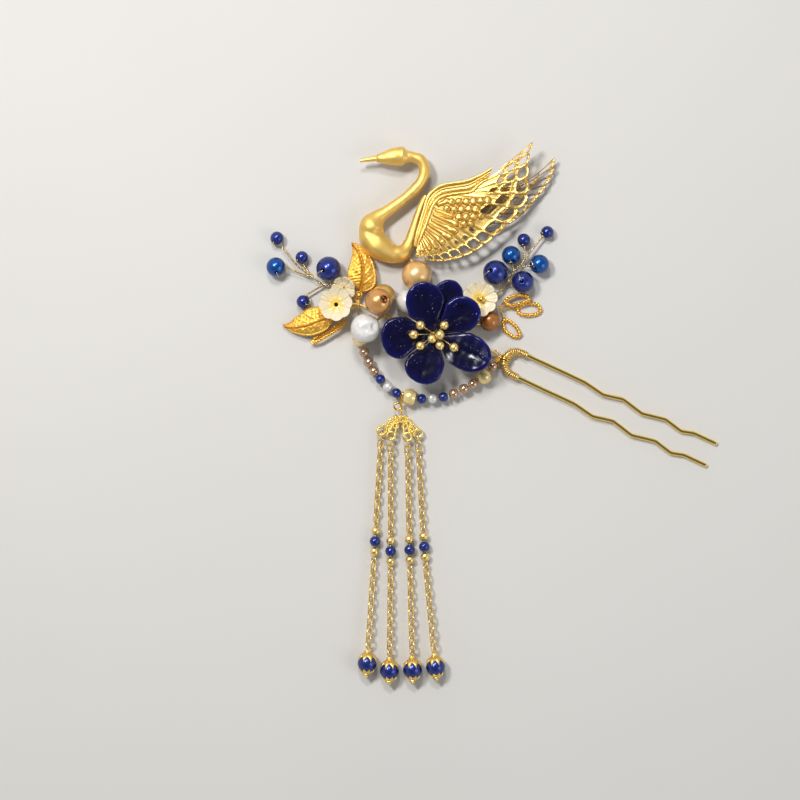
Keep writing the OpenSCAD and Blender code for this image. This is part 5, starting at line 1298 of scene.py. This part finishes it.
tasselSpec = {
    "hook": (-29.85, 6.39, 2.9), "hookRing": 0.9, "hookWire": 0.31, "eye": (-31.5, 2.6, 2.9),
    "tail": [(-30.3, 3.2, 2.9), (-30.2, 0.9, 2.9)], "turns": [(-30.26, 1.75, 2.9), (-30.23, 1.25, 2.9)],
    "crown": (-30.5, -1.2, 2.9), "crownR": 1.35, "crownH": 1.2,
    "arms": [(-36.9, -5.6, 2.3), (-33.75, -7.2, 3.0), (-28.2, -7.6, 3.0), (-24.8, -6.4, 2.3)],
    "filigree": [(-33.5, -2.5), (-32.1, -3.9), (-34.5, -4.6), (-29.1, -4.2), (-27.6, -3.0), (-27.0, -5.1)],
    "shoulders": [(-32.2, -1.2, 2.1), (-31.1, -2.3, 1.6), (-28.8, -1.3, 2.1), (-29.8, -2.4, 1.5)],
    "loop": 1.3, "loopWire": 0.46, "smallLoop": 0.84, "armWire": 0.36,
    "strands": [(-39.0, -42.3, -41.6, -82.7), (-33.8, -45.6, -34.2, -85.16), (-27.5, -45.1, -26.5, -84.8),
                (-22.6, -44.1, -18.9, -83.9)],
    "linkLength": 3.7, "linkWidth": 2.5, "linkWire": 0.6, "eyeR": 0.85, "eyeWire": 0.28,
    "spacer": 3.0, "blue": 3.6, "drop": 6.4, "capGap": 0.1, "capWall": 0.4,
}


def makeHook():
    # a ring on the swag's barrel bead, its tail down through the crown to a ball head, an eye beside it,
    # and two turns of wire that close the loop
    spec, way = tasselSpec, swagWays[swagSpec["barrel"]]
    hook, wire = np.array(spec["hook"]), spec["hookWire"]
    head = np.array(spec["crown"]) - [0, spec["crownH"] / 2 + 0.7, 0]
    tail = [hook + np.array([way[1], -way[0], 0]) * spec["hookRing"], *spec["tail"], head]
    parts = [ringPart(hook, spec["hookRing"], wire, way, steps=30, sides=10),
             tubePart(softened(tail, 0.15, 0.5), wire - 0.02, 9),
             ringPart(spec["eye"], 1.15, wire, steps=30, sides=10), ballPart(head, 1.1, 10, 16)]
    parts += [ringPart(at, 0.47, 0.17, (0.05, -1, 0), steps=16, sides=6) for at in spec["turns"]]
    makePiece("tasselHook", parts, "polishedGold", "tassel_hook")


def beadedWire(start, end, radius, count):
    # a thin wire with grains along it
    grains = [start + (end - start) * (k + 0.5) / count + [0, 0, radius * 0.5] for k in range(count)]
    return [tubePart([start, end], radius, 7)] + [ballPart(at, radius * 2.2, 6, 8) for at in grains]


def grainRing(at, across, top, size, count, sides=8):
    # small balls round a circle: at + across cos a + top sin a
    at, across, top = np.array([at, across, top], float)
    return [ballPart(at + across * math.cos(a) + top * math.sin(a), size, 6, sides) for a in circle(count)]


def makeCap():
    # a grained crown, arms of two beaded wires down to a loop each, grained rings between them, and the
    # lumpy shoulders above
    spec = tasselSpec
    crown, loop, small, wire = np.array(spec["crown"]), spec["loop"], spec["smallLoop"], spec["armWire"]
    h, r = spec["crownH"] / 2, spec["crownR"]
    outside = np.array([(r - 0.1, -h), (r + 0.02, 0.1 - h), (r + 0.02, 0.28 - h), (r - 0.14, 0.36 - h)])
    inside = [(0.9, h + 0.02), (0.62, h - 0.04), (0.52, h - 0.2), (0.52, 0.2 - h), (0.62, 0.04 - h), (0.9, -h)]
    profile = np.concatenate([outside, outside[::-1] * [1, -1], inside])
    parts = [moved(turnedPart(profile, 40), crown, (0, 1, 0))]
    parts += grainRing(crown, (r * 0.97, 0, 0), (0, 0, r * 0.97), 0.46, 14, 10)
    for arm in np.array(spec["arms"]):
        start = crown + [math.copysign(1.12, arm[0] - crown[0]), 0.2 - h, 0]
        way = unit(arm - start)
        across = unit([-way[1], way[0], 0])
        for side in (-1, 1):
            parts += beadedWire(start + across * side * 0.2, arm + across * side * loop, wire, 12)
        parts.append(ringPart(arm, loop, spec["loopWire"], steps=32, sides=12))
        parts += grainRing(arm + [0, 0, 0.22], (loop, 0, 0), (0, loop, 0), 0.5, 16)
    for x, y in spec["filigree"]:
        parts.append(ringPart((x, y, crown[2]), small, wire, steps=20, sides=8))
        parts += grainRing((x, y, crown[2] + 0.2), (small, 0, 0), (0, small, 0), 0.5, 8)
    for x, y, size in spec["shoulders"]:
        parts.append(ballPart((x, y, crown[2]), size, 12, 18, (1, 0.9, 0.9)))
        for k in range(10):                                  # lumps in a spiral from the top
            a, b = k * 2.4, 0.25 + 0.11 * k
            way = np.array([math.sin(b) * math.cos(a), 0.9 * math.sin(b) * math.sin(a), 0.9 * math.cos(b)])
            parts.append(ballPart(np.array([x, y, crown[2]]) + way * size * 0.48, 0.46, 6, 8))
    makePiece("tasselCap", parts, "capGold", "tassel_cap")


def linkPart():
    # long ring along Z, flat in XZ: two half circles joined by straight sides
    r = tasselSpec["linkWire"] / 2
    bend = tasselSpec["linkWidth"] / 2 - r
    half = tasselSpec["linkLength"] / 2 - r - bend
    a = np.linspace(0, np.pi, 9)
    upper = np.stack([bend * np.cos(a), 0 * a, half + bend * np.sin(a)], -1)
    return tubePart(np.concatenate([upper, upper * [-1, 1, -1]]), r * 0.98, 8, (0, 1, 0), True)


def linkRoll(i, twist):
    # a quarter turn from link to link, and an eighth more over the first few
    return 90 * i + min(15 * i + twist, 45)


def linkRun(a, b, held, twist):
    # interlocked links from the wire at a to the wire at b; the roll of the eye after the last one
    wire, play = tasselSpec["linkWire"], 0.12
    span = tasselSpec["linkLength"] - wire
    way, hold = unit(b - a), wire / 2 + held + play
    run = np.linalg.norm(b - a) + 2 * hold - span            # from the first link's middle to the last one's
    n = 1 + math.ceil(run / (span - wire - play))
    link, first = linkPart(), span / 2 - hold
    links = [moved(link, a + way * (i * run / (n - 1) + first), way, linkRoll(i, twist)) for i in range(n)]
    return links, linkRoll(n - 1, twist) + 90


def eyePart(at, way, roll):
    # a ring of wire that stands in the plane of the strand
    a, r = circle(22), tasselSpec["eyeR"]
    ring = np.stack([r * np.cos(a), 0 * a, r * np.sin(a)], -1)
    return moved(tubePart(ring, tasselSpec["eyeWire"], 8, (0, 1, 0), True), at, way, roll)


def starCap(at, way, tipR, notchR, collar):
    # eight-pointed star laid on the ball, its edge at a radius between notch and tip; a ribbed collar
    inner = tasselSpec["drop"] / 2 + tasselSpec["capGap"] - 0.02
    a = circle(96)
    saw = np.abs(((a * 8 / tau) % 1) * 2 - 1)                # 1 at a point, 0 at a notch
    edge = notchR + (tipR - notchR) * saw ** 1.15
    s = np.linspace(0, 1, 12)[:, None]
    out = 0.9 + (edge - 0.9) * s
    groove = 0.10 * np.cos(np.pi * saw) * np.sin(np.pi * s) + 0.06 * np.cos(16 * a) * (s > 0.5)
    skin = inner + tasselSpec["capWall"] * (1 - 0.35 * s ** 3) - groove * 0.5
    under, top = (np.stack([out * np.cos(a), out * np.sin(a), np.sqrt(np.clip(r ** 2 - out ** 2, 0.01, None))], -1)
                  for r in (inner, skin))
    # painted shade: the under side is toned dark, and the top darker near the ball and in the notches
    tone = np.concatenate([np.full((12, 96), 0.6), 0.6 * np.clip(0.5 - 0.5 * saw * s, 0, 1)[::-1]])
    star = sheetPart(np.concatenate([under, top[::-1]]), True, True, tone=tone)
    low = inner + 0.12
    profile = [(0.42, low - 0.2), (0.95, low - 0.1), (1.18, low + 0.1), (1.22, low + 0.3), (1.02, low + 0.42),
               (0.95, collar - 0.3), (1.0, collar - 0.18), (0.92, collar), (0.7, collar + 0.02), (0.42, collar - 0.06)]
    return [moved(star, at, way, 22.5), moved(turnedPart(profile, 48, ribs=0.05), at, way)]


def makeStrand(number, arm, strand):
    # links from the cap's arm to an eye, a headed wire through three small beads, links again, and a
    # headed wire through the capped drop
    spec = tasselSpec
    ball, drop, eyeR, wire = spec["blue"] / 2, spec["drop"] / 2, spec["eyeR"], spec["eyeWire"]
    blueAt, dropAt = np.array([*strand[:2], ball + 0.05]), np.array([*strand[2:], drop + 0.07])
    way = unit(dropAt - arm)
    reach = way * (ball + spec["spacer"] + 0.2 + wire + eyeR)
    upperEye, lowerEye = blueAt - reach, blueAt + reach
    dropWay, upperWay = unit(dropAt - lowerEye), unit(upperEye - arm)
    collar = drop + 1.1
    dropEye = dropAt - dropWay * (collar + 0.25 + wire + eyeR)
    head = dropAt + dropWay * (drop + 1.15)
    links, firstRoll = linkRun(arm + upperWay * spec["loop"], upperEye - upperWay * eyeR, 0.42, 0)
    more, lastRoll = linkRun(lowerEye + dropWay * eyeR, dropEye - dropWay * eyeR, wire, 45)
    parts = links + more + [eyePart(upperEye, way, firstRoll), eyePart(lowerEye, way, linkRoll(0, 45) + 90),
                            eyePart(dropEye, dropWay, lastRoll),
                            tubePart([upperEye + way * eyeR, lowerEye - way * eyeR], wire * 0.94),
                            tubePart([dropEye + dropWay * eyeR, head], wire * 0.94), ballPart(head, 1.1, 10, 16)]
    hole, off = wire + 0.1, way * (ball + spec["spacer"] / 2 + 0.1)
    tip = (drop + spec["capGap"] + spec["capWall"]) * 0.88
    pieces = {
        ("chain", "chain", "chainGold"): parts,
        ("goldBeads", "gold_beads", "beadGold"): [beadPart(blueAt + side * off, spec["spacer"], way, hole, 20, 32)
                                                  for side in (-1, 1)],
        ("blueBead", "blue_bead", "navyPearl"): [beadPart(blueAt, spec["blue"], way, hole, 24, 36)],
        ("dropBead", "drop_bead", "navyPearl"): [beadPart(dropAt, spec["drop"], dropWay, hole, 36, 56)],
    }
    for (name, node, finish), parts in pieces.items():
        makePiece("%s%d" % (name, number), parts, finish, "%s_%d" % (node, number))
    caps = (starCap(dropAt, -dropWay, tip, tip * 0.74, collar)
            + starCap(dropAt, dropWay, tip * 0.8, tip * 0.55, drop + 0.6))
    makePiece("dropCaps%d" % number, caps, "capGold", "drop_caps_%d" % number, 50)


makeHook()
makeCap()
for number, (arm, strand) in enumerate(zip(tasselSpec["arms"], tasselSpec["strands"]), 1):
    makeStrand(number, np.array(arm), strand)
print("tassel made")


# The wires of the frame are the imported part's own

frameWires = bpy.data.objects["wire_frame"]
frameWires.data.materials.clear()
frameWires.data.materials.append(finishes["satinGold"][0])


# Floor, camera and lights

stageSpec = {
    "cameraAt": (-30.7, 4.7), "far": 900.0, "covers": 266.7,
    "aim": (-25, 10, 0), "floor": 0.9,                          # floor: half its width in metres
    "lights": [  # place, size, power, colour
        ((-360, 330, 700), 150, 4.4, (1.0, 0.98, 0.95)),
        ((-90, 520, 700), 130, 2.6, (1.0, 0.985, 0.96)),
        ((560, -220, 560), 400, 1.3, (0.97, 0.98, 1.0))],
    "sky": (0.86, 0.87, 0.88), "rim": 0.80, "zenith": 0.13,
}


def makeFloor():
    # a wide sheet just under the part
    n = 60
    x, y = np.meshgrid(np.linspace(-1, 1, n), np.linspace(-1, 1, n), indexing="ij")
    points = np.stack([x * stageSpec["floor"] - 0.03, y * stageSpec["floor"], np.full((n, n), -0.02 * mm)], -1)
    index = np.arange(n * n).reshape(n, n)
    quads = np.stack([index[:-1, :-1], index[1:, :-1], index[1:, 1:], index[:-1, 1:]], -1).reshape(-1, 4)
    mesh = bpy.data.meshes.new("paperFloor")
    mesh.from_pydata(points.reshape(-1, 3).tolist(), [], quads.tolist())
    mesh.materials.append(finishes["paleFloor"][0])
    floor = bpy.data.objects.new("paperFloor", mesh)
    bpy.context.scene.collection.objects.link(floor)


def makeCamera():
    # straight down; the angle of view that covers the given width at that distance
    camera = bpy.data.objects.new("camera", bpy.data.cameras.new("camera"))
    camera.location = np.array([*stageSpec["cameraAt"], stageSpec["far"]]) * mm
    camera.data.angle = 2 * math.atan(stageSpec["covers"] / 2 / stageSpec["far"])
    camera.data.clip_start = 0.01
    bpy.context.scene.collection.objects.link(camera)
    bpy.context.scene.camera = camera


def makeLights():
    # soft square lamps, and a room with pale walls and a darker ceiling
    aim = np.array(stageSpec["aim"], float)
    for k, (place, size, power, colour) in enumerate(stageSpec["lights"], 1):
        lamp = bpy.data.lights.new("softLight%d" % k, "AREA")
        lamp.shape, lamp.size, lamp.size_y = "RECTANGLE", size * mm, size * mm
        lamp.energy, lamp.color = power, colour
        light = bpy.data.objects.new("softLight%d" % k, lamp)
        way = unit(np.array(place) - aim)
        light.location = np.array(place) * mm
        light.rotation_euler = (math.acos(way[2]), 0, math.atan2(way[1], way[0]) + math.pi / 2)
        bpy.context.scene.collection.objects.link(light)
    world = bpy.data.worlds.new("paleRoom")
    world.use_nodes = True
    back = world.node_tree.nodes["Background"]
    back.inputs[0].default_value = (*stageSpec["sky"], 1)
    add = nodeMaker(world.node_tree)
    height = add("SeparateXYZ", Vector=add("TexCoord")["Generated"])["Z"]
    power = add("MapRange", {"interpolation_type": "SMOOTHSTEP"}, Value=height, From_Min=0.2, From_Max=0.85,
                To_Min=stageSpec["rim"], To_Max=stageSpec["zenith"])[0]
    world.node_tree.links.new(power, back.inputs[1])
    bpy.context.scene.world = world


makeFloor()
makeCamera()
makeLights()
bpy.context.scene.view_settings.view_transform = "Standard"   # keeps the deep blues and yellows
print("triangles", sum(n for name, n in made), "in", len(made), "pieces, most in", max(made, key=lambda m: m[1]))
